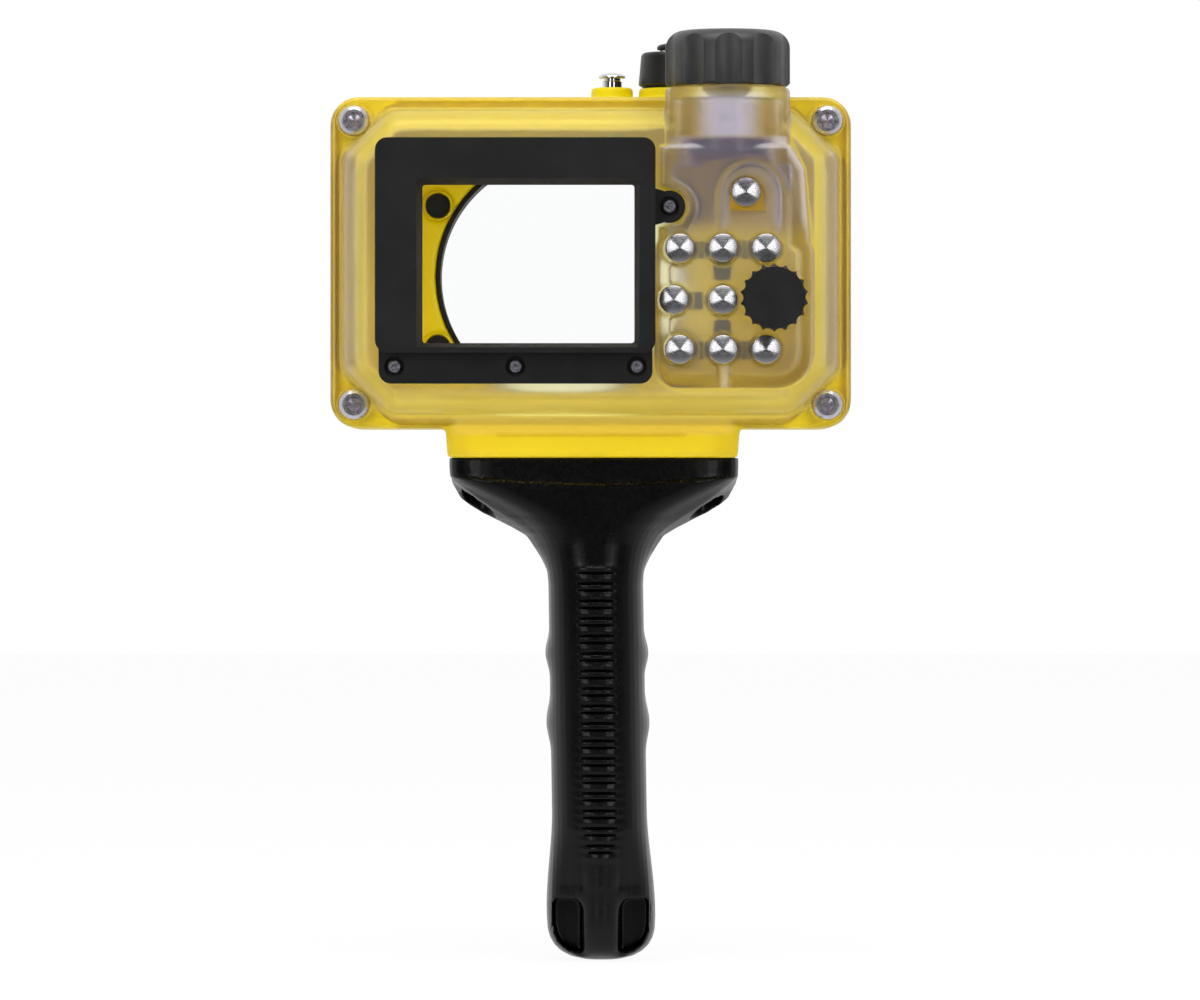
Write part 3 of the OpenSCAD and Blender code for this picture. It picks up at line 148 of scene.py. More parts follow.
world = bpy.data.worlds.new("studio")
bpy.context.scene.world = world
world.use_nodes = True
tree = world.node_tree
tree.nodes.clear()
ROOM_LIGHT = 0.55
MIRRORED_BY_CAMERA = 0.05
MIRROR_FADE = (-0.7, 0.4)
white = background(tree, 1.0)
room = background(tree, ROOM_LIGHT)
mirror_room = background(tree, 1.0)
direction = axes_of(tree, coordinates(tree, "Generated"))
mirrored = remap(tree, direction["Y"], *MIRROR_FADE, MIRRORED_BY_CAMERA, 1.0)
link(tree, mirrored, mirror_room.inputs["Strength"])
seen, glossy = seen_rays(tree)
metal_or_room = choose(tree, glossy, room.outputs[0], mirror_room.outputs[0])
output = tree.nodes.new("ShaderNodeOutputWorld")
link(tree, choose(tree, seen, metal_or_room, white.outputs[0]), output.inputs["Surface"])

# The floor glows for rays that look at it, so that it is as white as the surround, and in reflections it
# is dimmer towards the camera. Its matte part keeps the housing's shadow.
FLOOR_SIZE = 8
FLOOR_DROP = 0.2 * MM
GLOW_SHARE = 0.90
GLOW = 1.03
MIRRORED_FLOOR = (0.03, 0.80)
FLOOR_FADE = (-0.45, 0.0)
bpy.ops.mesh.primitive_plane_add(size=FLOOR_SIZE, location=(0, 0, cad_low.z - FLOOR_DROP))
floor = bpy.context.object
floor.name = "floor"
paper = bpy.data.materials.new("white_paper")
paper.use_nodes = True
tree = paper.node_tree
matte = tree.nodes["Principled BSDF"]
matte.inputs["Base Color"].default_value = (0.86, 0.86, 0.86, 1)
matte.inputs["Roughness"].default_value = 0.9
ground = axes_of(tree, coordinates(tree, "Object"))
dimmer = remap(tree, ground["Y"], *FLOOR_FADE, *MIRRORED_FLOOR)
seen, glossy = seen_rays(tree)
share = math_node(tree, "MAXIMUM", math_node(tree, "MULTIPLY", seen, GLOW_SHARE), glossy)
mirrored = math_node(tree, "MULTIPLY", glossy, dimmer)
strength = math_node(tree, "MAXIMUM", math_node(tree, "MULTIPLY", seen, GLOW), mirrored)
glow = tree.nodes.new("ShaderNodeEmission")
link(tree, strength, glow.inputs["Strength"])
surface = choose(tree, share, matte.outputs[0], glow.outputs[0])
link(tree, surface, tree.nodes["Material Output"].inputs["Surface"])
floor.data.materials.append(paper)


BODY_MIDDLE = (0, JOINT_Y, -0.04)


def soft_box(name, place, size, power):
    """A rectangular area lamp that faces the housing's body."""
    bpy.ops.object.light_add(type="AREA", location=place)
    lamp = bpy.context.object
    lamp.name = name
    lamp.data.shape = "RECTANGLE"
    lamp.data.size, lamp.data.size_y = size
    lamp.data.energy = power
    aim = Vector(BODY_MIDDLE) - Vector(place)
    lamp.rotation_euler = aim.to_track_quat("-Z", "Y").to_euler()
    lamp.visible_camera = False


soft_box("overhead_box", (0.0, -0.55, 1.25), (1.3, 0.9), 11)
soft_box("left_strip", (-0.66, -1.55, 0.05), (0.30, 1.3), 4.2)
soft_box("right_strip", (0.66, -1.55, 0.05), (0.30, 1.3), 4.2)


# Front shell
# Yellow moulded shell with the pedestal and the bosses of the top controls. The pieces that are cast or
# moulded start as the construction's own solid, whose edges are then softened as a mould leaves them.
def deselect():
    bpy.ops.object.select_all(action="DESELECT")


def only(piece):
    deselect()
    piece.select_set(True)
    bpy.context.view_layer.objects.active = piece


def modify(piece, kind, **settings):
    """Adds one modifier with these settings and applies it."""
    only(piece)
    modifier = piece.modifiers.new(kind.lower(), kind)
    for name, value in settings.items():
        setattr(modifier, name, value)
    bpy.ops.object.modifier_apply(modifier=modifier.name)


def edit(piece, mode="VERT"):
    """Opens a piece in edit mode with nothing selected, for picking by place."""
    only(piece)
    bpy.ops.object.mode_set(mode="EDIT")
    bpy.ops.mesh.select_mode(type=mode)
    bpy.ops.mesh.select_all(action="DESELECT")
    return bmesh.from_edit_mesh(piece.data)


def pick(piece, elements, test):
    """Selects those verts, edges or faces of a piece in edit mode that pass the test."""
    for element in elements:
        if test(element):
            element.select_set(True)
    bmesh.update_edit_mesh(piece.data)


def on_all(operation, **settings):
    """Runs an operation on the whole mesh in edit mode."""
    bpy.ops.mesh.select_all(action="SELECT")
    operation(**settings)


def leave():
    bpy.ops.object.mode_set(mode="OBJECT")


def smooth(piece, degrees=35):
    only(piece)
    bpy.ops.object.shade_smooth_by_angle(angle=math.radians(degrees))


def flat_faces(piece, degrees=60):
    """Smooths the small faces of rounded edges and keeps the large faces they join flat."""
    smooth(piece, degrees)
    modify(piece, "WEIGHTED_NORMAL", mode="FACE_AREA", weight=80, keep_sharp=True)


def copy_of(piece, name):
    """A copy with its own mesh."""
    only(piece)
    bpy.ops.object.duplicate()
    copy = bpy.context.object
    copy.name = name
    copy.data.name = name
    return copy


def cast(name, node):
    """A closed copy of a construction solid, to be worked on."""
    piece = copy_of(nodes[node], name)
    piece.parent = None
    for key in list(piece.keys()):
        del piece[key]
    piece.data.materials.clear()
    edit(piece)
    on_all(bpy.ops.mesh.remove_doubles, threshold=0.002 * MM)
    leave()
    return piece


def soften(piece, voxel, rounds, most=190000):
    """Rounds every edge, inside and out, by about the size of a voxel, and keeps to a number of triangles."""
    modify(piece, "REMESH", mode="VOXEL", voxel_size=voxel, adaptivity=0.0)
    modify(piece, "SMOOTH", factor=0.5, iterations=rounds)
    triangles = 2 * len(piece.data.polygons)
    if triangles > most:
        modify(piece, "DECIMATE", ratio=most / triangles)


def paint(piece, material):
    piece.data.materials.clear()
    piece.data.materials.append(material)


def finish(piece, material, body, slot, *replaced):
    """Gives a piece its material and body, and hides the construction nodes it stands for. The slot is not
    used.
    """
    paint(piece, material)
    piece.data.name = piece.name
    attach(piece, body)
    if replaced:
        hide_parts(*replaced)


def dress(material, *names):
    """Puts a material on construction nodes that keep their own shape."""
    for name in names:
        paint(nodes[name], material)


def new_material(name, **values):
    """A material with one Principled shader; underscores in a socket's name stand for spaces."""
    material = bpy.data.materials.new(name)
    material.use_nodes = True
    shader = material.node_tree.nodes["Principled BSDF"]
    for socket, value in values.items():
        shader.inputs[socket.replace("_", " ")].default_value = value
    return material


def noise(material, scale, detail=3.0, roughness=0.55):
    tree = material.node_tree
    texture = tree.nodes.new("ShaderNodeTexNoise")
    for name, value in (("Scale", scale), ("Detail", detail), ("Roughness", roughness)):
        texture.inputs[name].default_value = value
    link(tree, coordinates(tree, "Object"), texture.inputs["Vector"])
    return texture.outputs["Fac"]


def spread(material, socket, source, low, high, start=0.3, end=0.7):
    """Lets a socket range from low to high, two numbers or two colours, as a texture does."""
    tree = material.node_tree
    shader = tree.nodes["Principled BSDF"]
    if isinstance(low, (int, float)):
        link(tree, remap(tree, source, start, end, low, high), shader.inputs[socket])
        return
    ramp = tree.nodes.new("ShaderNodeValToRGB")
    for element, position, colour in zip(ramp.color_ramp.elements, (start, end), (low, high)):
        element.position = position
        element.color = (*colour, 1)
    link(tree, source, ramp.inputs["Fac"])
    link(tree, ramp.outputs["Color"], shader.inputs[socket])


def grain(material, source, strength, depth):
    """A fine relief from a texture; depth is in metres. A second call lies over the first."""
    tree = material.node_tree
    shader = tree.nodes["Principled BSDF"]
    bump = tree.nodes.new("ShaderNodeBump")
    bump.inputs["Strength"].default_value = strength
    bump.inputs["Distance"].default_value = depth
    link(tree, source, bump.inputs["Height"])
    below = shader.inputs["Normal"]
    if below.is_linked:
        link(tree, below.links[0].from_socket, bump.inputs["Normal"])
    link(tree, bump.outputs["Normal"], shader.inputs["Normal"])


def uneven(name, tint, rough=None, relief=None, **values):
    """A material with noise in its colour and roughness, each as (scale, low, high), and in its relief, as
    (scale, detail, strength, depth in millimetres)."""
    material = new_material(name, **values)
    for socket, span in (("Base Color", tint), ("Roughness", rough)):
        if span:
            spread(material, socket, noise(material, span[0]), span[1], span[2])
    if relief:
        scale, detail, strength, depth = relief
        grain(material, noise(material, scale, detail), strength, depth * MM)
    return material


yellow = uneven("shell_yellow", (60, (0.84, 0.67, 0.002), (0.88, 0.73, 0.003)), (240, 0.30, 0.42),
                (1400, 2.0, 0.25, 0.05), Specular_IOR_Level=0.2)

# The remeshed rim ends this far from the cover's, so that the two never show through each other.
CONTACT = 0.08 * MM
front_shell = cast("front_shell_moulding", "front_shell")
soften(front_shell, 0.7 * MM, 4)
picked = edit(front_shell)
pick(front_shell, picked.verts, lambda vert: vert.co.y < JOINT_Y + CONTACT)
bpy.ops.transform.translate(value=(0, CONTACT, 0))
leave()
smooth(front_shell, 50)
finish(front_shell, yellow, "shell", "shell_yellow", "front_shell")

# Sealing rings and threaded inserts
# A soft amber silicone ring lies in its groove in the shell's rim, black ones sit round every stem and
# shaft, and turned brass inserts take the cover's screws and the handle's.
rubber = uneven("seal_rubber", (300, (0.012, 0.012, 0.012), (0.03, 0.03, 0.03)),
                relief=(2500, 3.0, 0.3, 0.03), Roughness=0.6, Specular_IOR_Level=0.35)
brass = uneven("turned_brass", (400, (0.62, 0.45, 0.18), (0.78, 0.60, 0.28)),
               relief=(3000, 3.0, 0.2, 0.02), Metallic=1.0, Roughness=0.3)
amber = uneven("silicone_amber", (300, (0.50, 0.36, 0.02), (0.60, 0.45, 0.03)),
               relief=(2500, 3.0, 0.2, 0.03), Roughness=0.5, Specular_IOR_Level=0.3)
dress(rubber, "port_seal", "shell_seals", "cover_seals", "thumb_roller")
dress(amber, "main_seal")
dress(brass, "cover_inserts", "handle_inserts")


# Lens port
# A machined black ring with four ears on the front wall, its clear glass, and the threaded ring that holds
# the glass in, with two notches for a pin spanner. Four cap screws go into black inserts in the wall.
def turned(name, profile, sides=64):
    """A piece turned about the z axis from its (radius, height) steps in millimetres. A profile that comes
    back to its start makes a ring, and any other is closed at both ends."""
    radius, height = profile[0]
    deselect()
    bpy.ops.mesh.primitive_circle_add(vertices=sides, radius=radius * MM)
    piece = bpy.context.object
    piece.name = name
    edit(piece)
    on_all(bpy.ops.transform.translate, value=(0, 0, height * MM))
    for (r0, z0), (r1, z1) in zip(profile, profile[1:]):
        bpy.ops.mesh.extrude_region_move(TRANSFORM_OT_translate={"value": (0, 0, (z1 - z0) * MM)})
        bpy.ops.transform.resize(value=(r1 / r0, r1 / r0, 1), center_override=(0, 0, z1 * MM))
    on_all(bpy.ops.mesh.remove_doubles, threshold=0.001 * MM)
    on_all(bpy.ops.mesh.fill_holes, sides=0)
    on_all(bpy.ops.mesh.normals_make_consistent, inside=False)
    leave()
    return piece


def arc(radius, height, r, start, end, steps=6):
    """Points of a rounded edge about (radius, height), in degrees from straight outwards."""
    angles = [math.radians(start + (end - start) * i / steps) for i in range(steps + 1)]
    return [(radius + r * math.cos(a), height + r * math.sin(a)) for a in angles]


TO_USER = (math.pi / 2, 0, 0)
TO_FRONT = (-math.pi / 2, 0, 0)
UPWARDS = (0, 0, 0)
DOWNWARDS = (math.pi, 0, 0)


def bake(piece):
    """Puts a piece's own place, turn and size into its mesh."""
    only(piece)
    bpy.ops.object.transform_apply(location=True, rotation=True, scale=True)


def place(piece, facing, spot):
    """Turns a piece's z axis to a side and moves it to its spot."""
    piece.rotation_euler = facing
    piece.location = spot
    bake(piece)
    return piece


def block(name, low, high):
    """A box between two corners."""
    deselect()
    bpy.ops.mesh.primitive_cube_add(size=1, location=(Vector(low) + Vector(high)) / 2)
    piece = bpy.context.object
    piece.name = name
    piece.scale = Vector(high) - Vector(low)
    bake(piece)
    return piece


def along(axis):
    """A test for edges that run along an axis."""
    def test(edge):
        run = edge.verts[1].co - edge.verts[0].co
        return abs(run[axis]) > 0.99 * run.length
    return test


def round_edges(piece, test, radius, segments=6):
    picked = edit(piece, "EDGE")
    pick(piece, picked.edges, test)
    bpy.ops.mesh.bevel(offset=radius, segments=segments, affect="EDGES")
    leave()


def combine(piece, tool, operation):
    """Joins a piece with a tool or cuts it by one, and takes the tool away."""
    modify(piece, "BOOLEAN", object=tool, operation=operation, solver="EXACT")
    bpy.data.objects.remove(tool)


def break_edges(piece, width, segments=2, degrees=40):
    """Breaks the sharp edges that a cutter leaves."""
    modify(piece, "BEVEL", width=width, segments=segments, limit_method="ANGLE",
           angle_limit=math.radians(degrees), use_clamp_overlap=True)


def join(name, pieces):
    only(pieces[0])
    for piece in pieces[1:]:
        piece.select_set(True)
    if len(pieces) > 1:
        bpy.ops.object.join()
    pieces[0].name = name
    return pieces[0]


def each_solid(node):
    """Lowest and highest corners of each separate solid of a construction node."""
    piece = cast("measured", node)
    edit(piece)
    bpy.ops.mesh.separate(type="LOOSE")
    leave()
    boxes = []
    for part in list(bpy.context.selected_objects):
        corners = [Vector(corner) for corner in part.bound_box]
        boxes.append((Vector(map(min, zip(*corners))), Vector(map(max, zip(*corners)))))
        bpy.data.objects.remove(part)
    return sorted(boxes, key=lambda box: tuple(box[0]))


def axes_spots(node):
    """The x and z of each separate solid's middle, for screws that point along y."""
    return [((low.x + high.x) / 2, (low.z + high.z) / 2) for low, high in each_solid(node)]


def foot_of(node):
    """The middle of a construction node's lowest level."""
    low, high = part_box(node)
    return Vector(((low.x + high.x) / 2, (low.y + high.y) / 2, low.z))


acetal = uneven("port_black", (120, (0.006, 0.006, 0.007), (0.012, 0.012, 0.013)), (700, 0.45, 0.58),
                (1800, 3.0, 0.25, 0.04), Specular_IOR_Level=0.3)

PORT_R = 35.0
RETAINER_T = 3.0
GLASS_T = 4.0
WALL = 16.0
EAR_T = 4.0
EAR_R = 5.0
EAR_HOLE_R = 1.55
EAR_RECESS_R = 2.95
TUBE_R = 39.6
SPIGOT_R = 38.2
LIP_R = 36.4
GROOVE_R = 38.35
GROOVE_DEPTH = 1.25
GROOVE_INNER_R = 37.05
port_end = -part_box("port_ring")[0].y / MM
retainer_low, retainer_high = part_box("port_retainer")
glass_r = (retainer_high.x - retainer_low.x) / 2 / MM
seat_r = glass_r + 0.05
port_ring = turned("port_ring_turned", [
    (seat_r, 0), (SPIGOT_R - 0.3, 0), (SPIGOT_R, 0.3), (SPIGOT_R, 8), (TUBE_R - 0.3, 8), (TUBE_R, 8.3),
    (TUBE_R, WALL - EAR_T), (TUBE_R + 1, WALL - EAR_T), (TUBE_R + 1, WALL), (GROOVE_R, WALL),
    (GROOVE_R, WALL - GROOVE_DEPTH), (GROOVE_INNER_R, WALL - GROOVE_DEPTH), (GROOVE_INNER_R, WALL),
    (LIP_R, WALL), (LIP_R, port_end - 0.4), (LIP_R - 0.4, port_end), (PORT_R, port_end),
    (PORT_R, RETAINER_T + GLASS_T), (seat_r, RETAINER_T + GLASS_T), (seat_r, 0)], 128)
place(port_ring, TO_USER, (0, 0, 0))
port_spots = axes_spots("port_screws")
for x, z in port_spots:
    ear = turned("ear", [(EAR_R, WALL - EAR_T), (EAR_R, WALL)], 48)
    place(ear, TO_USER, (x, 0, z))
    inner = turned("inner", [(SPIGOT_R + 0.2, WALL - EAR_T - 1), (SPIGOT_R + 0.2, WALL + 1)], 128)
    place(inner, TO_USER, (0, 0, 0))
    combine(ear, inner, "DIFFERENCE")
    combine(port_ring, ear, "UNION")
for x, z in port_spots:
    hole = turned("hole", [
        (EAR_HOLE_R, WALL + 1), (EAR_HOLE_R, WALL - EAR_T), (EAR_RECESS_R, WALL - EAR_T),
        (EAR_RECESS_R, -1)], 40)
    place(hole, TO_USER, (x, 0, z))
    combine(port_ring, hole, "DIFFERENCE")
flat_faces(port_ring, 40)
finish(port_ring, acetal, "shell", "port_black", "port_ring")

retainer = turned("port_retaining_ring", [
    (PORT_R, 0), (glass_r - 0.2, 0), (glass_r, 0.2), (glass_r, RETAINER_T - 0.4),
    (glass_r - 0.4, RETAINER_T), (PORT_R + 0.7, RETAINER_T), (PORT_R, RETAINER_T - 0.7), (PORT_R, 0)], 128)
for side in (-1, 1):
    notch = block("notch", (side * 34 * MM, -1.1 * MM, 2 * MM), (side * 38 * MM, 1.1 * MM, 4 * MM))
    combine(retainer, notch, "DIFFERENCE")
smooth(retainer, 30)
place(retainer, TO_FRONT, (0, -RETAINER_T * MM, 0))
finish(retainer, acetal, "shell", "port_black", "port_retainer")


def light_through(material, tint):
    """Lets the lamps' light pass a clear piece, in this tint, to what is behind it."""
    tree = material.node_tree
    let_through = tree.nodes.new("ShaderNodeBsdfTransparent")
    let_through.inputs["Color"].default_value = (*tint, 1)
    shadow = tree.nodes.new("ShaderNodeLightPath").outputs["Is Shadow Ray"]
    surface = choose(tree, shadow, tree.nodes["Principled BSDF"].outputs[0], let_through.outputs[0])
    link(tree, surface, tree.nodes["Material Output"].inputs["Surface"])


def clear_glass(name, tint):
    """Polished glass with a coating that takes most of the reflection away."""
    material = new_material(name, Base_Color=tint, Roughness=0.01, IOR=1.2, Transmission_Weight=1.0)
    light_through(material, (1, 1, 1))
    return material


port_clear = clear_glass("port_glass", (0.99, 1.0, 1.0, 1))
port_glass = turned("port_glass_disc", [
    (glass_r - 0.35, 0), (glass_r, 0.35), (glass_r, GLASS_T - 0.35), (glass_r - 0.35, GLASS_T)], 128)
smooth(port_glass, 30)
place(port_glass, TO_FRONT, (0, -(RETAINER_T + GLASS_T) * MM, 0))
finish(port_glass, port_clear, "shell", "port_glass", "port_glass")

moulded = uneven("moulded_black", (200, (0.003, 0.003, 0.005), (0.008, 0.008, 0.011)),
                 relief=(1500, 3.0, 0.3, 0.04), Roughness=0.45, Specular_IOR_Level=0.3)
dress(moulded, "port_inserts", *[name for name in nodes if name.startswith("arm_")])

steel = uneven("stainless_steel", (500, (0.66, 0.64, 0.70), (0.80, 0.78, 0.85)), (900, 0.22, 0.34),
               (3000, 3.0, 0.05, 0.002), Metallic=1.0)
dress(steel, "zoom_shaft", "mode_shaft", "thumb_shaft")


KNURL = 0.965
HEXAGON_R = 0.27
HEXAGON_DEPTH = 0.62


def cap_screw(name, head_d, head_h, shank_d, length, knurls):
    """Socket cap screw, its head's top on z = 0: a knurled rim, a chamfered edge, and a hexagon socket that
    ends in the drill's point."""
    r, shank = head_d / 2, shank_d / 2
    lip = 0.1 * head_h
    screw = turned(name, [
        (shank - 0.4, -length), (shank, 0.4 - length), (shank, -head_h), (r - 0.15, -head_h),
        (r, 0.15 - head_h), (r, -2 * lip), (r - lip, -lip), (r - 2.2 * lip, 0)], 2 * knurls)
    picked = edit(screw)
    pick(screw, picked.verts, lambda vert: vert.co.xy.length > (r - 0.05) * MM
         and round(math.atan2(vert.co.y, vert.co.x) / math.pi * knurls) % 2 == 1)
    bpy.ops.transform.resize(value=(KNURL, KNURL, 1), center_override=(0, 0, 0))
    leave()
    socket_r = HEXAGON_R * head_d
    flat_r = socket_r * math.cos(math.pi / 6)
    depth = min(HEXAGON_DEPTH * head_h, 0.9 * head_h - 0.6 * flat_r)
    socket = turned("socket", [(socket_r, -depth), (socket_r, 1)], 6)
    combine(screw, socket, "DIFFERENCE")
    point = turned("point", [(0.05, -depth - 0.55 * flat_r), (0.98 * flat_r, 0.01 - depth)], 48)
    combine(screw, point, "DIFFERENCE")
    mouth = turned("mouth", [(flat_r - 0.1, -0.06 * head_d), (socket_r + 0.02, 0.01)], 48)
    combine(screw, mouth, "DIFFERENCE")
    smooth(screw, 28)
    return screw


def screws(name, node, head_h, shank_d, facing, knurls=36):
    """One screw for each solid of a node, all of one make, its head at the end that faces that way."""
    made = []
    for low, high in each_solid(node):
        middle, size = (low + high) / 2, high - low
        if facing == DOWNWARDS:
            head_d, length, spot = size.x, size.z, (middle.x, middle.y, low.z)
        else:
            head_d, length = size.x, size.y
            spot = (middle.x, low.y if facing == TO_USER else high.y, middle.z)
        if not made:
            pattern = cap_screw("screw", head_d / MM, head_h, shank_d, length / MM, knurls)
        made.append(place(copy_of(pattern, "screw"), facing, spot))
    bpy.data.objects.remove(pattern)
    return join(name, made)


port_cap_screws = screws("port_cap_screws", "port_screws", 3.0, 3.0, TO_FRONT)
finish(port_cap_screws, steel, "shell", "stainless", "port_screws")

# Zoom ring and shutter release
# A tapered black knob on its shaft, turned by hand, with the sprung shutter cap in its dished top.
knob_black = uneven("knob_black", (150, (0.008, 0.008, 0.008), (0.013, 0.013, 0.013)), (700, 0.34, 0.46),
                    (1600, 3.0, 0.35, 0.05), Specular_IOR_Level=0.4)

zoom_spot = foot_of("zoom_knob")
ZOOM_R = 9.9
ZOOM_TOP_R = 9.2
ZOOM_H = 10.0
ZOOM_EDGE = 1.4
DISH_R = 5.1
DISH_FLOOR = 7.2
SHAFT_R = 4.52
SHAFT_TOP = 5.6
STEM_BORE_R = 2.1
zoom_ring = turned("zoom_ring", [
    (SHAFT_R, 0), (ZOOM_R - 0.9, 0), (ZOOM_R - 0.9, 0.35), (ZOOM_R - 0.35, 0.35), (ZOOM_R, 0.7),
    *arc(ZOOM_TOP_R - ZOOM_EDGE, ZOOM_H - ZOOM_EDGE, ZOOM_EDGE, 5, 90),
    (DISH_R + 0.5, ZOOM_H), (DISH_R, ZOOM_H - 0.4), (DISH_R, DISH_FLOOR), (STEM_BORE_R, DISH_FLOOR),
    (STEM_BORE_R, SHAFT_TOP), (SHAFT_R, SHAFT_TOP), (SHAFT_R, 0)], 96)
smooth(zoom_ring, 30)
place(zoom_ring, UPWARDS, zoom_spot)
finish(zoom_ring, knob_black, "zoom", "knob_black", "zoom_knob")

cap_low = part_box("shutter_cap")[0]
CAP_R = 4.6
CAP_H = 1.9
CAP_BORE_R = 2.02
CAP_BORE = 0.95
shutter_cap = turned("shutter_cap_dome", [
    (0.3, CAP_BORE), (CAP_BORE_R, CAP_BORE), (CAP_BORE_R, 0), (CAP_R - 0.2, 0), (CAP_R, 0.2), (CAP_R, 0.75),
    (CAP_R - 0.25, 1.15), (CAP_R - 0.9, 1.5), (CAP_R - 2.0, 1.75), (CAP_R - 3.2, 1.87), (0.3, CAP_H)], 64)
smooth(shutter_cap, 30)
place(shutter_cap, UPWARDS, (zoom_spot.x, zoom_spot.y, cap_low.z))
finish(shutter_cap, knob_black, "shutter", "knob_black", "shutter_cap")


STEPS_PER_TURN = 20


def coil(name, mean_r, wire_r, length, turns):
    """A spring of round wire that stands on z = 0, closed at both ends."""
    deselect()
    bpy.ops.mesh.primitive_circle_add(vertices=10, radius=wire_r * MM, location=(mean_r * MM, 0, wire_r * MM),
                                      rotation=(math.pi / 2, 0, 0))
    spring = bpy.context.object
    spring.name = name
    bake(spring)
    steps = int(turns * STEPS_PER_TURN)
    modify(spring, "SCREW", axis="Z", angle=2 * math.pi * turns, screw_offset=(length - 2 * wire_r) * MM,
           iterations=1, steps=steps, render_steps=steps)
    edit(spring)
    on_all(bpy.ops.mesh.fill_holes, sides=0)
    on_all(bpy.ops.mesh.normals_make_consistent, inside=False)
    leave()
    smooth(spring, 60)
    return spring


def upright_spring(name, node, spot, mean_r, wire_r, turns, body):
    """A spring that stands below a top control, on the body given."""
    low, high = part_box(node)
    length = (high.z - low.z) / MM
    spring = coil(name, mean_r, wire_r, length, turns)
    place(spring, UPWARDS, (spot.x, spot.y, low.z))
    finish(spring, steel, body, "stainless", node)
    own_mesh(spring)


upright_spring("shutter_coil", "shutter_spring", zoom_spot, 3.5, 0.22, 2.5, "zoom")

# Power button
# A polished mushroom head on a skirt that slides in its boss, with a spring round its stem.
polished = uneven("polished_steel", (300, (0.66, 0.65, 0.66), (0.78, 0.77, 0.78)), (1200, 0.07, 0.16),
                  Metallic=1.0)

button_low, button_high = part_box("power_button")
POWER_H = (button_high.z - button_low.z) / MM
FOOT_R = 3.0
FOOT_H = 2.4
CORE_R = 1.5
SPRING_TOP = 10.5
SKIRT_R = 2.9
HEAD_B = POWER_H - 1.6
MUSHROOM_R = 3.95
power_button = turned("power_mushroom", [
    (FOOT_R - 0.3, 0), (FOOT_R, 0.3), (FOOT_R, FOOT_H), (CORE_R, FOOT_H), (CORE_R, SPRING_TOP),
    (SKIRT_R, SPRING_TOP), (SKIRT_R, HEAD_B - 0.9), (SKIRT_R - 0.4, HEAD_B - 0.6), (SKIRT_R - 0.4, HEAD_B),
    (MUSHROOM_R - 0.35, HEAD_B), (MUSHROOM_R, HEAD_B + 0.25), (MUSHROOM_R, HEAD_B + 0.55),
    (MUSHROOM_R - 0.25, HEAD_B + 0.95), (MUSHROOM_R - 0.85, HEAD_B + 1.3), (2.3, HEAD_B + 1.5),
    (1.6, POWER_H), (0.3, POWER_H)], 64)
smooth(power_button, 30)
power_spot = foot_of("power_button")
place(power_button, UPWARDS, power_spot)
finish(power_button, polished, "power", "polished_steel", "power_button")
dress(polished, "shutter_stem")

upright_spring("power_coil", "power_spring", power_spot, 2.2, 0.25, 5, "shell")

# Grip
# Black glass-filled grip: a winged flange under the pedestal, a ribbed back, finger ridges at the front,
# and two pockets at the tail with a post for the lanyard between them. Two screws hold it from below.
grip_black = uneven("grip_black", (90, (0.0015, 0.0015, 0.0015), (0.003, 0.003, 0.003)), (500, 0.23, 0.31),
                    (2200, 2.0, 0.2, 0.03), Specular_IOR_Level=0.27)

grip = cast("pistol_grip", "handle")
soften(grip, 0.5 * MM, 3)
grip_low, grip_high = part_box("handle")
# The post between the pockets is crowned: its sides and what lies above them fall back from its middle.
TAIL_X = 11.7
TAIL_H = 21.0
POST_REACH = 7.6
POST_FRONT = -46.0
POST_CROWN = 2.4
POST_HALF = 5.4
POST_SMOOTHING = 90
REAR_FADE = 6.0
CROWN_TOP = 38.0
CROWN_FADE = 16.0


def share_of(distance, full):
    """0 up to no distance, and from there on to 1 at the full one."""
    return min(max(distance / full, 0), 1)


for vert in grip.data.vertices:
    spot = vert.co / MM
    rearward = share_of(POST_FRONT - spot.y, REAR_FADE)
    downward = share_of(grip_low.z / MM + CROWN_TOP - spot.z, CROWN_FADE)
    off_middle = share_of(abs(spot.x - TAIL_X), POST_HALF)
    vert.co.y += POST_CROWN * MM * rearward * downward * off_middle ** 2
post = grip.vertex_groups.new(name="post")
post.add([v.index for v in grip.data.vertices if abs(v.co.x - TAIL_X * MM) < POST_REACH * MM
          and v.co.y < POST_FRONT * MM and v.co.z < grip_low.z + TAIL_H * MM], 1.0, "REPLACE")
modify(grip, "SMOOTH", factor=0.5, iterations=POST_SMOOTHING, vertex_group="post")

# Thin notches on both sides of each rib's narrow crest part the ribs, on the surface as it lies there.
GRIP_X = 9.9
GRIP_DRIFT = 1.9 / 144
RIB_TOP = 33.0
RIB_PITCH = 5.0
RIBS = 17
NARROW = 3.0
NOTCH_SIZE = (9.5, 1.9, 0.5)
NOTCH_SINK = 0.3
CREST_X = 1.5 * MM
CREST_Z = 1.3 * MM
notches = []
for i in range(2 * RIBS - 1):
    depth = RIB_TOP + RIB_PITCH * (i // 2) + NARROW * (i % 2)
    z = grip_high.z - depth * MM
    x = (GRIP_X + GRIP_DRIFT * depth) * MM
    back = min(v.co.y for v in grip.data.vertices
               if abs(v.co.z - z) < CREST_Z and abs(v.co.x - x) < CREST_X)
    deselect()
    bpy.ops.mesh.primitive_uv_sphere_add(segments=40, ring_count=12, radius=MM)
    notch = bpy.context.object
    notch.scale = NOTCH_SIZE
    notches.append(place(notch, UPWARDS, (x, back - NOTCH_SINK * MM, z)))
combine(grip, join("notches", notches), "DIFFERENCE")
smooth(grip, 50)
finish(grip, grip_black, "shell", "grip_black", "handle")
handle_cap_screws = screws("handle_cap_screws", "handle_screws", 5.0, 5.0, DOWNWARDS)
finish(handle_cap_screws, steel, "shell", "stainless", "handle_screws")
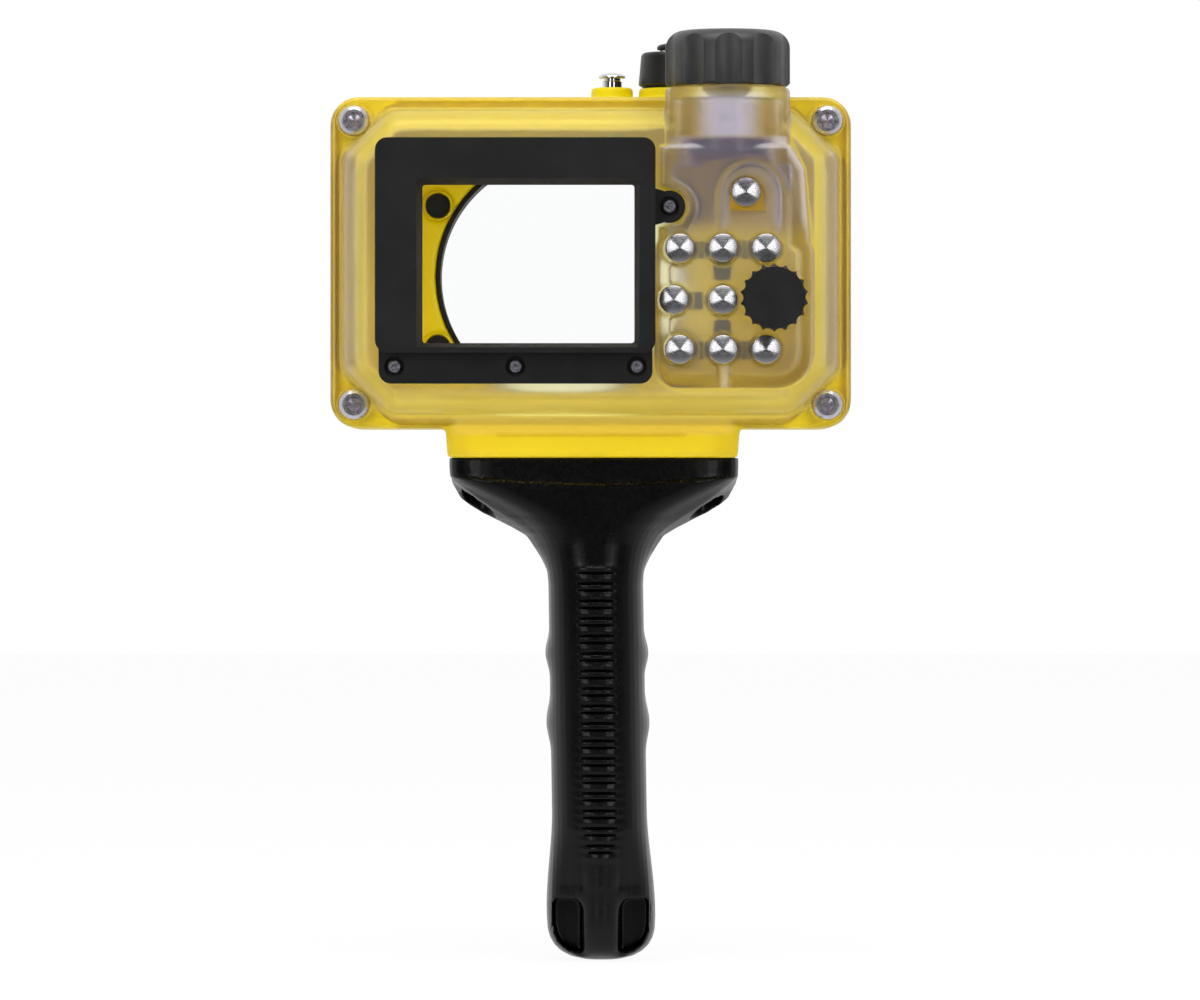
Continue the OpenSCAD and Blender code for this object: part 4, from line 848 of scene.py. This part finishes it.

# Rear cover
# One clear moulding with a frosted finish, so that what lies behind it shows blurred. Sloping and thick
# places, such as the sides of the raised frame and the boss in the tower, look paler than flat thin ones.
# Its colour also carries painted shade: darker on the neck, the flange's sides and edges, and the plate's
# sides and groove. It carries painted light too: a yellow glow on the frame's shoulders and the plate's top,
# and pale highlight lines on the neck's right ridge and the tower's ledge.
CLEAREST = 0.98
frosted = new_material("frosted_cover", Roughness=0.40, IOR=1.14, Transmission_Weight=CLEAREST,
                       Coat_Weight=0.25, Coat_Roughness=0.22)
grain(frosted, noise(frosted, 2600, 2.0), 0.12, 0.03 * MM)
cover_tree = frosted.node_tree
in_mm = cover_tree.nodes.new("ShaderNodeMapping")
in_mm.inputs["Scale"].default_value = (1000, 1000, 1000)
link(cover_tree, coordinates(cover_tree, "Object"), in_mm.inputs["Vector"])
spot_axes = axes_of(cover_tree, in_mm.outputs["Vector"])
normal_axes = axes_of(cover_tree, coordinates(cover_tree, "Normal"))
cover_x, cover_y, cover_z = (spot_axes[axis] for axis in "XYZ")


def calc(operation, first, second=0.0):
    return math_node(cover_tree, operation, first, second)


def band(value, start, end):
    """0 at start and 1 at end, with a smooth change between them."""
    return remap(cover_tree, value, start, end, 0.0, 1.0, "SMOOTHSTEP")


def times(*factors):
    product = factors[0]
    for factor in factors[1:]:
        product = calc("MULTIPLY", product, factor)
    return product


def from_middle(value, middle):
    return calc("ABSOLUTE", calc("SUBTRACT", value, middle))


def near(value, middle, outer, inner):
    """1 within the inner distance of a place, and 0 beyond the outer one."""
    return band(from_middle(value, middle), outer, inner)


def clear_of(part):
    return calc("SUBTRACT", 1.0, part)


def tinted(factor, below, tint):
    """A tint over the colours below it, as far as the factor says."""
    mix = cover_tree.nodes.new("ShaderNodeMix")
    mix.data_type = "RGBA"
    link(cover_tree, factor, mix.inputs["Factor"])
    link(cover_tree, below, mix.inputs[6])
    mix.inputs[7].default_value = (*tint, 1)
    return mix.outputs[2]


# Each mask is 1 on one part of the cover and fades out beside it. Places are in millimetres.
cup_low, cup_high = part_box("mode_cup")
TOWER_X = (cup_low.x + cup_high.x) / 2 / MM
TOWER_FOOT = 37.0
TOWER_TOP = 52.2
NECK_FOOT = 11.0
ALCOVE_X = 54.0
ALCOVE_Z = 21.5
ALCOVE_R = 7.1
BODY_X = 8.75
BODY_HALF = 74.2
FLANGE_Y = -61.5
FRAME_Y = -76.0
RIB_X = 46.6
RIB_Z = -27.0
PLATE_X = 9.3
PLATE_TOP = -43.6
POCKET_LOW, POCKET_HIGH = Vector((47.8, -81.0, 16.8)), Vector((58.3, -79.2, 24.0))
GROOVE_LOW, GROOVE_HIGH = Vector((-18.0, -64.0, -46.7)), Vector((35.7, -61.5, -45.7))
pocket_middle, pocket_half = (POCKET_LOW + POCKET_HIGH) / 2, (POCKET_HIGH - POCKET_LOW) / 2
groove_middle, groove_half = (GROOVE_LOW + GROOVE_HIGH) / 2, (GROOVE_HIGH - GROOVE_LOW) / 2

along_x = calc("ABSOLUTE", normal_axes["X"])
along_z = calc("ABSOLUTE", normal_axes["Z"])
over_plate = band(cover_z, PLATE_TOP + 0.1, PLATE_TOP + 2.1)
on_body = band(cover_z, PLATE_TOP - 1.9, PLATE_TOP + 2.6)
to_middle = from_middle(cover_x, BODY_X)
proud = times(band(cover_y, FRAME_Y - 0.8, FRAME_Y - 2.5), near(cover_x, TOWER_X, 26, 22))
on_tower = times(proud, band(cover_z, TOWER_FOOT - 0.5, TOWER_FOOT + 1.5))
# The neck's darker violet-grey tint below is painted shade, for the shaded bay behind it.
on_neck = times(proud, band(cover_z, NECK_FOOT - 3, NECK_FOOT + 5),
                band(cover_z, TOWER_FOOT + 1.5, TOWER_FOOT))
boss = times(on_tower, near(cover_x, TOWER_X, 11.5, 4.5), band(cover_z, TOWER_TOP - 1, TOWER_TOP - 4))
sides = times(band(along_x, 0.50, 0.90), clear_of(on_tower), over_plate)
# The ledge at the tower's foot gets a pale tint and less clearness: a painted highlight line.
ledge = times(band(along_z, 0.35, 0.80), proud, near(cover_z, TOWER_FOOT - 1, 5.0, 2.5))
from_arch = cover_tree.nodes.new("ShaderNodeCombineXYZ")
link(cover_tree, calc("SUBTRACT", cover_x, ALCOVE_X), from_arch.inputs["X"])
link(cover_tree, calc("MAXIMUM", calc("SUBTRACT", cover_z, ALCOVE_Z), 0.0), from_arch.inputs["Y"])
arch_reach = cover_tree.nodes.new("ShaderNodeVectorMath")
arch_reach.operation = "LENGTH"
link(cover_tree, from_arch.outputs[0], arch_reach.inputs[0])
arch_wall = times(on_neck, near(arch_reach.outputs["Value"], ALCOVE_R, 2.2, 0.6))
rib = times(proud, near(cover_x, RIB_X, 1.9, 0.4), band(cover_z, RIB_Z + 2.5, RIB_Z))
# The neck's right ridge gets a pale whitish tint and less clearness: a painted highlight line.
ridge = times(on_neck, band(along_x, 0.15, 0.60), band(cover_x, 58, 63))
frame_face = times(clear_of(proud), band(cover_y, FRAME_Y + 1, FRAME_Y + 0.2))
# The frame's shoulders and the plate's top get a deep yellow tint and less clearness: painted light, a yellow
# glow over the shaded inside behind them.
slopes = calc("MAXIMUM", band(along_z, 0.20, 0.60), near(along_x, 0.38, 0.26, 0.10))
shoulders = times(slopes, clear_of(proud), over_plate)
plate_top = times(near(cover_z, PLATE_TOP, 3.2, 1.2), near(cover_x, PLATE_X, 41, 38))
# The plate's sides and the line of its groove get darker tints: painted shade.
plate_sides = times(clear_of(on_body), band(to_middle, 33, 38))
plate_groove = times(near(cover_z, groove_middle.z, groove_half.z + 0.5, groove_half.z - 0.1),
                     near(cover_x, groove_middle.x, groove_half.x + 0.75, groove_half.x - 0.45))
pocket_floor = times(near(cover_x, pocket_middle.x, pocket_half.x + 0.15, pocket_half.x - 0.05),
                     band(cover_y, -79.9, -79.6),
                     near(cover_z, pocket_middle.z, pocket_half.z + 0.3, pocket_half.z))
# The flange's left and right sides get a darker tint, and their outer edges a dark olive one: painted shade.
on_flange = times(on_body, band(cover_y, FLANGE_Y - 2, FLANGE_Y), band(to_middle, 50, 64))
flange_edge = times(on_flange, band(to_middle, BODY_HALF - 4.5, BODY_HALF - 1.5))
low_bump = times(proud, band(cover_z, -14, -28))

# The tint goes by the depth towards the user, with a little cloudiness, and each part then has its own; some
# of these are painted shade and painted light, as the comments on their masks say.
cloud = calc("MULTIPLY", noise(frosted, 40), 0.12)
depth_in = calc("MULTIPLY", band(cover_y, -90, -74), 0.92)
tints = cover_tree.nodes.new("ShaderNodeValToRGB")
for position, colour in ((0.50, (0.63, 0.57, 0.58, 1)), (0.80, (0.92, 0.86, 0.70, 1))):
    tints.color_ramp.elements.new(position).color = colour
tints.color_ramp.elements[0].color = (0.66, 0.60, 0.58, 1)
tints.color_ramp.elements[-1].color = (0.99, 0.94, 0.42, 1)
link(cover_tree, calc("ADD", depth_in, cloud), tints.inputs["Fac"])
tint = tints.outputs["Color"]
for part, colour in (
        (on_flange, (0.86, 0.81, 0.42)), (flange_edge, (0.60, 0.50, 0.22)),
        (plate_sides, (0.90, 0.84, 0.42)), (plate_groove, (0.86, 0.78, 0.34)),
        (low_bump, (0.52, 0.45, 0.42)), (on_neck, (0.42, 0.38, 0.46)), (on_tower, (0.84, 0.74, 0.50)),
        (boss, (0.70, 0.67, 0.77)), (frame_face, (0.90, 0.85, 0.62)),
        (calc("MAXIMUM", shoulders, plate_top), (0.99, 0.85, 0.20)),
        (times(sides, 0.80), (0.80, 0.72, 0.72)), (ridge, (0.84, 0.79, 0.84)), (ledge, (0.74, 0.71, 0.80)),
        (arch_wall, (0.44, 0.42, 0.54)), (rib, (0.80, 0.76, 0.76)), (pocket_floor, (0.80, 0.66, 0.34))):
    tint = tinted(part, tint, colour)
shader = cover_tree.nodes["Principled BSDF"]
link(cover_tree, tint, shader.inputs["Base Color"])

# The thick and sloping parts let less light through. So does each part with painted light, so that its pale
# or yellow tint shows.
haze_and_painted_light = times(on_neck, clear_of(pocket_floor), 0.11)
for part, amount in (
        (proud, 0.04), (boss, 0.24), (sides, 0.16), (ridge, 0.24), (ledge, 0.26), (arch_wall, 0.16),
        (rib, 0.20), (shoulders, 0.30), (frame_face, 0.12), (plate_top, 0.22)):
    haze_and_painted_light = calc("ADD", haze_and_painted_light, calc("MULTIPLY", part, amount))
link(cover_tree, calc("SUBTRACT", CLEAREST, haze_and_painted_light), shader.inputs["Transmission Weight"])
light_through(frosted, (0.90, 0.89, 0.87))

cover = cast("rear_cover_moulding", "rear_cover")
soften(cover, 0.6 * MM, 3)
screw_axes = axes_spots("cover_screws")
hood_low, hood_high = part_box("lcd_hood")
cover_low, cover_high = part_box("rear_cover")
BODY_TOP = 50.0 * MM
RIGHT_SHOULDER = 72.5 * MM
UNDER_HOOD = 1.0 * MM
LEFT_OF_TOWER = 27.0 * MM
ABOVE_PLATE = 9.0 * MM
KEEP_EDGE = 3.4 * MM
KEEP_SCREW = 6.0 * MM
KEEP_HOOD = 1.5 * MM
KEEP_JOINT = 1.5 * MM
FRAME_SMOOTHING = 40


def on_frame_side(spot):
    """Whether a point lies on the raised frame's shoulders and corners, clear of what is fitted there."""
    beside = spot.x < hood_low.x + UNDER_HOOD or spot.x > RIGHT_SHOULDER
    above = spot.z > hood_high.z and spot.x < LEFT_OF_TOWER
    below = cover_low.z + ABOVE_PLATE < spot.z < hood_low.z - KEEP_HOOD
    inside = min(spot.x - cover_low.x, cover_high.x - spot.x, BODY_TOP - spot.z) > KEEP_EDGE
    free = all(math.hypot(spot.x - x, spot.z - z) > KEEP_SCREW for x, z in screw_axes)
    return inside and free and (beside or above or below) and spot.y < JOINT_Y - KEEP_JOINT


frame_sides = cover.vertex_groups.new(name="frame_sides")
frame_sides.add([v.index for v in cover.data.vertices if on_frame_side(v.co)], 1.0, "REPLACE")
modify(cover, "SMOOTH", factor=0.5, iterations=FRAME_SMOOTHING, vertex_group="frame_sides")

# The softened corners in the buttons' wells go back to the wells' floor, so that a pressed head clears them.
WELL_R = 4.3 * MM
WELL_BOTTOM = -77.35 * MM
WELL_CORNER = 0.9 * MM
button_names = [name for name in nodes if name.startswith("button_")]
well_axes = [[(a + b) / 2 for a, b in zip(*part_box(name))] for name in button_names]
for vert in cover.data.vertices:
    if WELL_BOTTOM - WELL_CORNER < vert.co.y < WELL_BOTTOM:
        if any(math.hypot(vert.co.x - x, vert.co.z - z) < WELL_R for x, _, z in well_axes):
            vert.co.y = WELL_BOTTOM
POCKET_TAPER = 0.86
pocket = block("pocket", POCKET_LOW * MM, POCKET_HIGH * MM)
picked = edit(pocket)
pick(pocket, picked.verts, lambda vert: vert.co.z > pocket_middle.z * MM)
bpy.ops.transform.resize(value=(POCKET_TAPER, 1, 1), center_override=(pocket_middle.x * MM, 0, 0))
leave()
groove = block("groove", GROOVE_LOW * MM, GROOVE_HIGH * MM)
combine(cover, join("cuts", [pocket, groove]), "DIFFERENCE")
smooth(cover, 60)
finish(cover, frosted, "cover", "cover_frosted", "rear_cover")
cover_cap_screws = screws("cover_cap_screws", "cover_screws", 5.0, 5.0, TO_USER, 40)
finish(cover_cap_screws, steel, "cover", "stainless", "cover_screws")

# Screen window
# A polished clear plate let into the cover, with broken edges that catch the light.
window_clear = clear_glass("screen_window", (1.0, 1.0, 1.0, 1))
window_low, window_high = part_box("lcd_window")
window = block("screen_window_plate", window_low, window_high)
round_edges(window, along(1), 2 * MM, 4)
break_edges(window, 0.3 * MM, 1)
finish(window, window_clear, "cover", "window_clear", "lcd_window")

# Screen hood
# Black satin frame round the screen, with a lower foot that takes three small screws and a lug at the right
# with a fourth. The opening widens towards the user.
hood_black = uneven("hood_black", (110, (0.009, 0.009, 0.009), (0.014, 0.014, 0.014)),
                    relief=(2000, 2.0, 0.25, 0.04), Specular_IOR_Level=0.45)
tree = hood_black.node_tree
faces_user = math_node(tree, "ABSOLUTE", axes_of(tree, coordinates(tree, "Normal"))["Y"], 0.0)
worn = math_node(tree, "MULTIPLY", noise(hood_black, 600), 0.2)
spread(hood_black, "Roughness", math_node(tree, "SUBTRACT", faces_user, worn), 0.72, 0.33, 0.1, 0.8)

LUG_R = 4.5 * MM
LUG_OUT = 4.0 * MM
LUG_ROOT = 1.6 * MM
WEB_REACH = LUG_OUT * 0.6
WEB_TAPER = 0.72
FOOT = 8.6 * MM
FOOT_RISE = 4.5 * MM
FOOT_INSET = 0.8 * MM
HOOD_R = 3.4 * MM
frame_right = hood_high.x - LUG_R - LUG_OUT
frame_bottom = hood_low.z + FOOT
foot_y = hood_high.y - FOOT_RISE
hood = block("screen_hood", (hood_low.x, hood_low.y, frame_bottom), (frame_right, hood_high.y, hood_high.z))
round_edges(hood, along(1), HOOD_R)
foot = block("foot", (hood_low.x + FOOT_INSET, foot_y, hood_low.z),
             (frame_right - FOOT_INSET, hood_high.y, frame_bottom + 2 * HOOD_R))
round_edges(foot, along(1), HOOD_R)
combine(hood, foot, "UNION")
hood_screw_spots = axes_spots("hood_screws")
lug_x, lug_z = max(hood_screw_spots)
lug = turned("lug", [(LUG_R / MM, 0), (LUG_R / MM, FOOT_RISE / MM)], 64)
place(lug, TO_USER, (lug_x, hood_high.y, lug_z))
web = block("web", (frame_right - HOOD_R, foot_y, lug_z - LUG_R - LUG_ROOT),
            (frame_right + WEB_REACH, hood_high.y, lug_z + LUG_R + LUG_ROOT))
picked = edit(web)
pick(web, picked.verts, lambda vert: vert.co.x > frame_right)
bpy.ops.transform.resize(value=(1, 1, WEB_TAPER), center_override=(0, 0, lug_z))
leave()
combine(lug, web, "UNION")
combine(hood, lug, "UNION")

WINDOW_LAP = 3.0 * MM
MOUTH_DRAFT = 1.6 * MM
MOUTH_REACH = 0.5 * MM
OVERSHOOT = 1.0 * MM
open_low = Vector((window_low.x + WINDOW_LAP, hood_low.y, window_low.z + WINDOW_LAP))
open_high = Vector((window_high.x - WINDOW_LAP, hood_high.y + OVERSHOOT, window_high.z - WINDOW_LAP))
middle, size = (open_low + open_high) / 2, open_high - open_low
opening = block("opening", open_low, open_high)
round_edges(opening, along(1), 0.8 * MM, 3)
picked = edit(opening)
pick(opening, picked.verts, lambda vert: vert.co.y < hood_low.y + 0.1 * MM)
bpy.ops.transform.translate(value=(0, -MOUTH_REACH, 0))
bpy.ops.transform.resize(value=(1 + 2 * MOUTH_DRAFT / size.x, 1, 1 + 2 * MOUTH_DRAFT / size.z),
                         center_override=(middle.x, 0, middle.z))
leave()
combine(hood, opening, "DIFFERENCE")

RECESS_R = 2.85
RECESS_DEPTH = 2.2
SHANK_HOLE_R = 1.45
for x, z in hood_screw_spots:
    recess = turned("recess", [
        (SHANK_HOLE_R, -1), (SHANK_HOLE_R, FOOT_RISE / MM - RECESS_DEPTH),
        (RECESS_R, FOOT_RISE / MM - RECESS_DEPTH), (RECESS_R, 30)], 40)
    place(recess, TO_USER, (x, hood_high.y, z))
    combine(hood, recess, "DIFFERENCE")
flat_faces(hood)
finish(hood, hood_black, "cover", "hood_black", "lcd_hood")
hood_cap_screws = screws("hood_cap_screws", "hood_screws", 1.9, 2.5, TO_USER, 24)
finish(hood_cap_screws, steel, "cover", "stainless", "hood_screws")

# Push buttons
# Turned stainless heads with a lathe-faced cone, each on a stem through the cover with a return spring in
# its well. The grooves of the facing tool spread a highlight across the head from left to right.
turned_steel = new_material("turned_steel", Metallic=1.0, Anisotropic=0.85,
                            Base_Color=(0.82, 0.81, 0.84, 1))
tree = turned_steel.node_tree
polar = tree.nodes.new("ShaderNodeUVMap")
polar.uv_map = "polar"
grooves = tree.nodes.new("ShaderNodeMapping")
grooves.inputs["Scale"].default_value = (70, 1.5, 1)
rings = tree.nodes.new("ShaderNodeTexNoise")
rings.inputs["Scale"].default_value = 1.0
rings.inputs["Detail"].default_value = 2.0
link(tree, polar.outputs["UV"], grooves.inputs["Vector"])
link(tree, grooves.outputs["Vector"], rings.inputs["Vector"])
spread(turned_steel, "Roughness", rings.outputs["Fac"], 0.20, 0.32)
grain(turned_steel, rings.outputs["Fac"], 0.15, 0.006 * MM)
outwards = tree.nodes.new("ShaderNodeTangent")
outwards.direction_type = "UV_MAP"
outwards.uv_map = "polar"
link(tree, outwards.outputs["Tangent"], tree.nodes["Principled BSDF"].inputs["Tangent"])


RING_PITCH = 4 * MM


def polar_map(piece, axis):
    """A UV map that runs outwards from a piece's axis and once round it."""
    chart = piece.data.uv_layers.new(name="polar")
    for face in piece.data.polygons:
        middle = face.center - axis
        home = math.atan2(middle.z, middle.x)
        for loop in face.loop_indices:
            arm = piece.data.vertices[piece.data.loops[loop].vertex_index].co - axis
            reach = math.hypot(arm.x, arm.z)
            turn = math.atan2(arm.z, arm.x) - home if reach > 1e-6 else 0.0
            turn = (turn + math.pi) % (2 * math.pi) - math.pi
            chart.data[loop].uv = (reach / RING_PITCH, (home + turn) / (2 * math.pi))


HEAD_R = 4.05
HEAD_H = 3.4
STEM_R = 1.6
CLIP_R = 2.7
CLIP_T = 0.8
CLIP_TOP = -12.1
COIL_R = 2.4
WIRE_R = 0.25
for name in button_names:
    low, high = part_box(name)
    spot = Vector(((low.x + high.x) / 2, low.y, (low.z + high.z) / 2))
    length = (high.y - low.y) / MM
    label = name[len("button_"):]
    head = turned("push_" + label, [
        (STEM_R - 0.2, -length), (STEM_R, 0.2 - length), (STEM_R, CLIP_TOP - CLIP_T),
        (CLIP_R, CLIP_TOP - CLIP_T), (CLIP_R, CLIP_TOP), (STEM_R, CLIP_TOP), (STEM_R, -HEAD_H),
        (HEAD_R - 0.2, -HEAD_H), (HEAD_R, 0.2 - HEAD_H), (HEAD_R, -1.05), (HEAD_R - 0.1, -0.88),
        (HEAD_R - 0.35, -0.75), (2.4, -0.46), (1.3, -0.21), (0.45, -0.02), (0.12, 0)], 96)
    place(head, TO_USER, spot)
    polar_map(head, spot)
    smooth(head, 30)
    finish(head, turned_steel, "key_" + label, "turned_steel", name)
    spring_low, spring_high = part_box("spring_" + label)
    length = (spring_high.y - spring_low.y) / MM
    spring = coil("return_coil_" + label, COIL_R, WIRE_R, length, 4)
    place(spring, TO_USER, (spot.x, spring_high.y, spot.z))
    finish(spring, steel, "cover", "stainless", "spring_" + label)
    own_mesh(spring)


# Thumb wheel
# A flat matte black wheel with eighteen scallops round its edge, on a shaft through the cover.
def cut_round(piece, count, radius, out, sides, start=0.0):
    """Cuts a piece that stands on z = 0 by upright cylinders all round it, whose axes are this far out."""
    cutters = []
    for i in range(count):
        turn = start + 2 * math.pi * i / count
        deselect()
        bpy.ops.mesh.primitive_cylinder_add(
            vertices=sides, radius=radius * MM, depth=60 * MM,
            location=(out * MM * math.cos(turn), out * MM * math.sin(turn), 0))
        cutters.append(bpy.context.object)
    combine(piece, join("cutters", cutters), "DIFFERENCE")


wheel_low, wheel_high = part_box("thumb_knob")
WHEEL_R = 9.55
WHEEL_T = (wheel_high.y - wheel_low.y) / MM
SCALLOPS = 18
SCALLOP_R = 1.9
SCALLOP_OUT = 1.05
BORE_R = 2.02
BORE_DEPTH = 5.0
wheel = turned("thumb_wheel", [
    (0.3, BORE_DEPTH), (BORE_R, BORE_DEPTH), (BORE_R, 0), (WHEEL_R - 0.5, 0), (WHEEL_R, 0.5),
    (WHEEL_R, WHEEL_T - 0.9), (WHEEL_R - 0.9, WHEEL_T), (0.3, WHEEL_T)], 144)
cut_round(wheel, SCALLOPS, SCALLOP_R, WHEEL_R + SCALLOP_OUT, 32)
break_edges(wheel, 0.15 * MM)
flat_faces(wheel)
wheel_spot = ((wheel_low.x + wheel_high.x) / 2, wheel_high.y, (wheel_low.z + wheel_high.z) / 2)
place(wheel, TO_USER, wheel_spot)
finish(wheel, knob_black, "thumb", "knob_black", "thumb_knob")

# Mode knob
# The big fluted knob on the tower, with ten wide flutes that end in arches under its rounded top edge. A
# cone under it runs into the tower, and its shaft carries the cup that turns the camera's dial.
soft_black = uneven("soft_black", (150, (0.024, 0.024, 0.024), (0.036, 0.036, 0.036)), (700, 0.34, 0.46),
                    (1600, 3.0, 0.35, 0.05), Specular_IOR_Level=0.6)

mode_low, mode_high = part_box("mode_knob")
MODE_R = 17.65
MODE_H = 15.6
MODE_EDGE = 5.0
CONE_H = 3.4
CONE_TIP_R = 3.2
CONE_R = 7.4
FLUTES = 10
FLUTE_R = 7.4
FLUTE_DEPTH = 1.5
MODE_BORE_R = 3.02
MODE_BORE = 10.6
mode_knob = turned("mode_knob_fluted", [
    (0.5, MODE_BORE), (MODE_BORE_R, MODE_BORE), (MODE_BORE_R, -CONE_H), (CONE_TIP_R, -CONE_H), (CONE_R, 0),
    (MODE_R - 0.7, 0), (MODE_R, 0.7), *arc(MODE_R - MODE_EDGE, MODE_H - MODE_EDGE, MODE_EDGE, 0, 90, 14),
    (0.5, MODE_H)], 180)
cut_round(mode_knob, FLUTES, FLUTE_R, MODE_R + FLUTE_R - FLUTE_DEPTH, 96, -math.pi / 2)
break_edges(mode_knob, 0.25 * MM, 2, 18)
smooth(mode_knob, 35)
mode_spot = ((mode_low.x + mode_high.x) / 2, (mode_low.y + mode_high.y) / 2, mode_high.z - MODE_H * MM)
place(mode_knob, UPWARDS, mode_spot)
finish(mode_knob, soft_black, "mode", "knob_black", "mode_knob")
dress(moulded, "mode_cup")
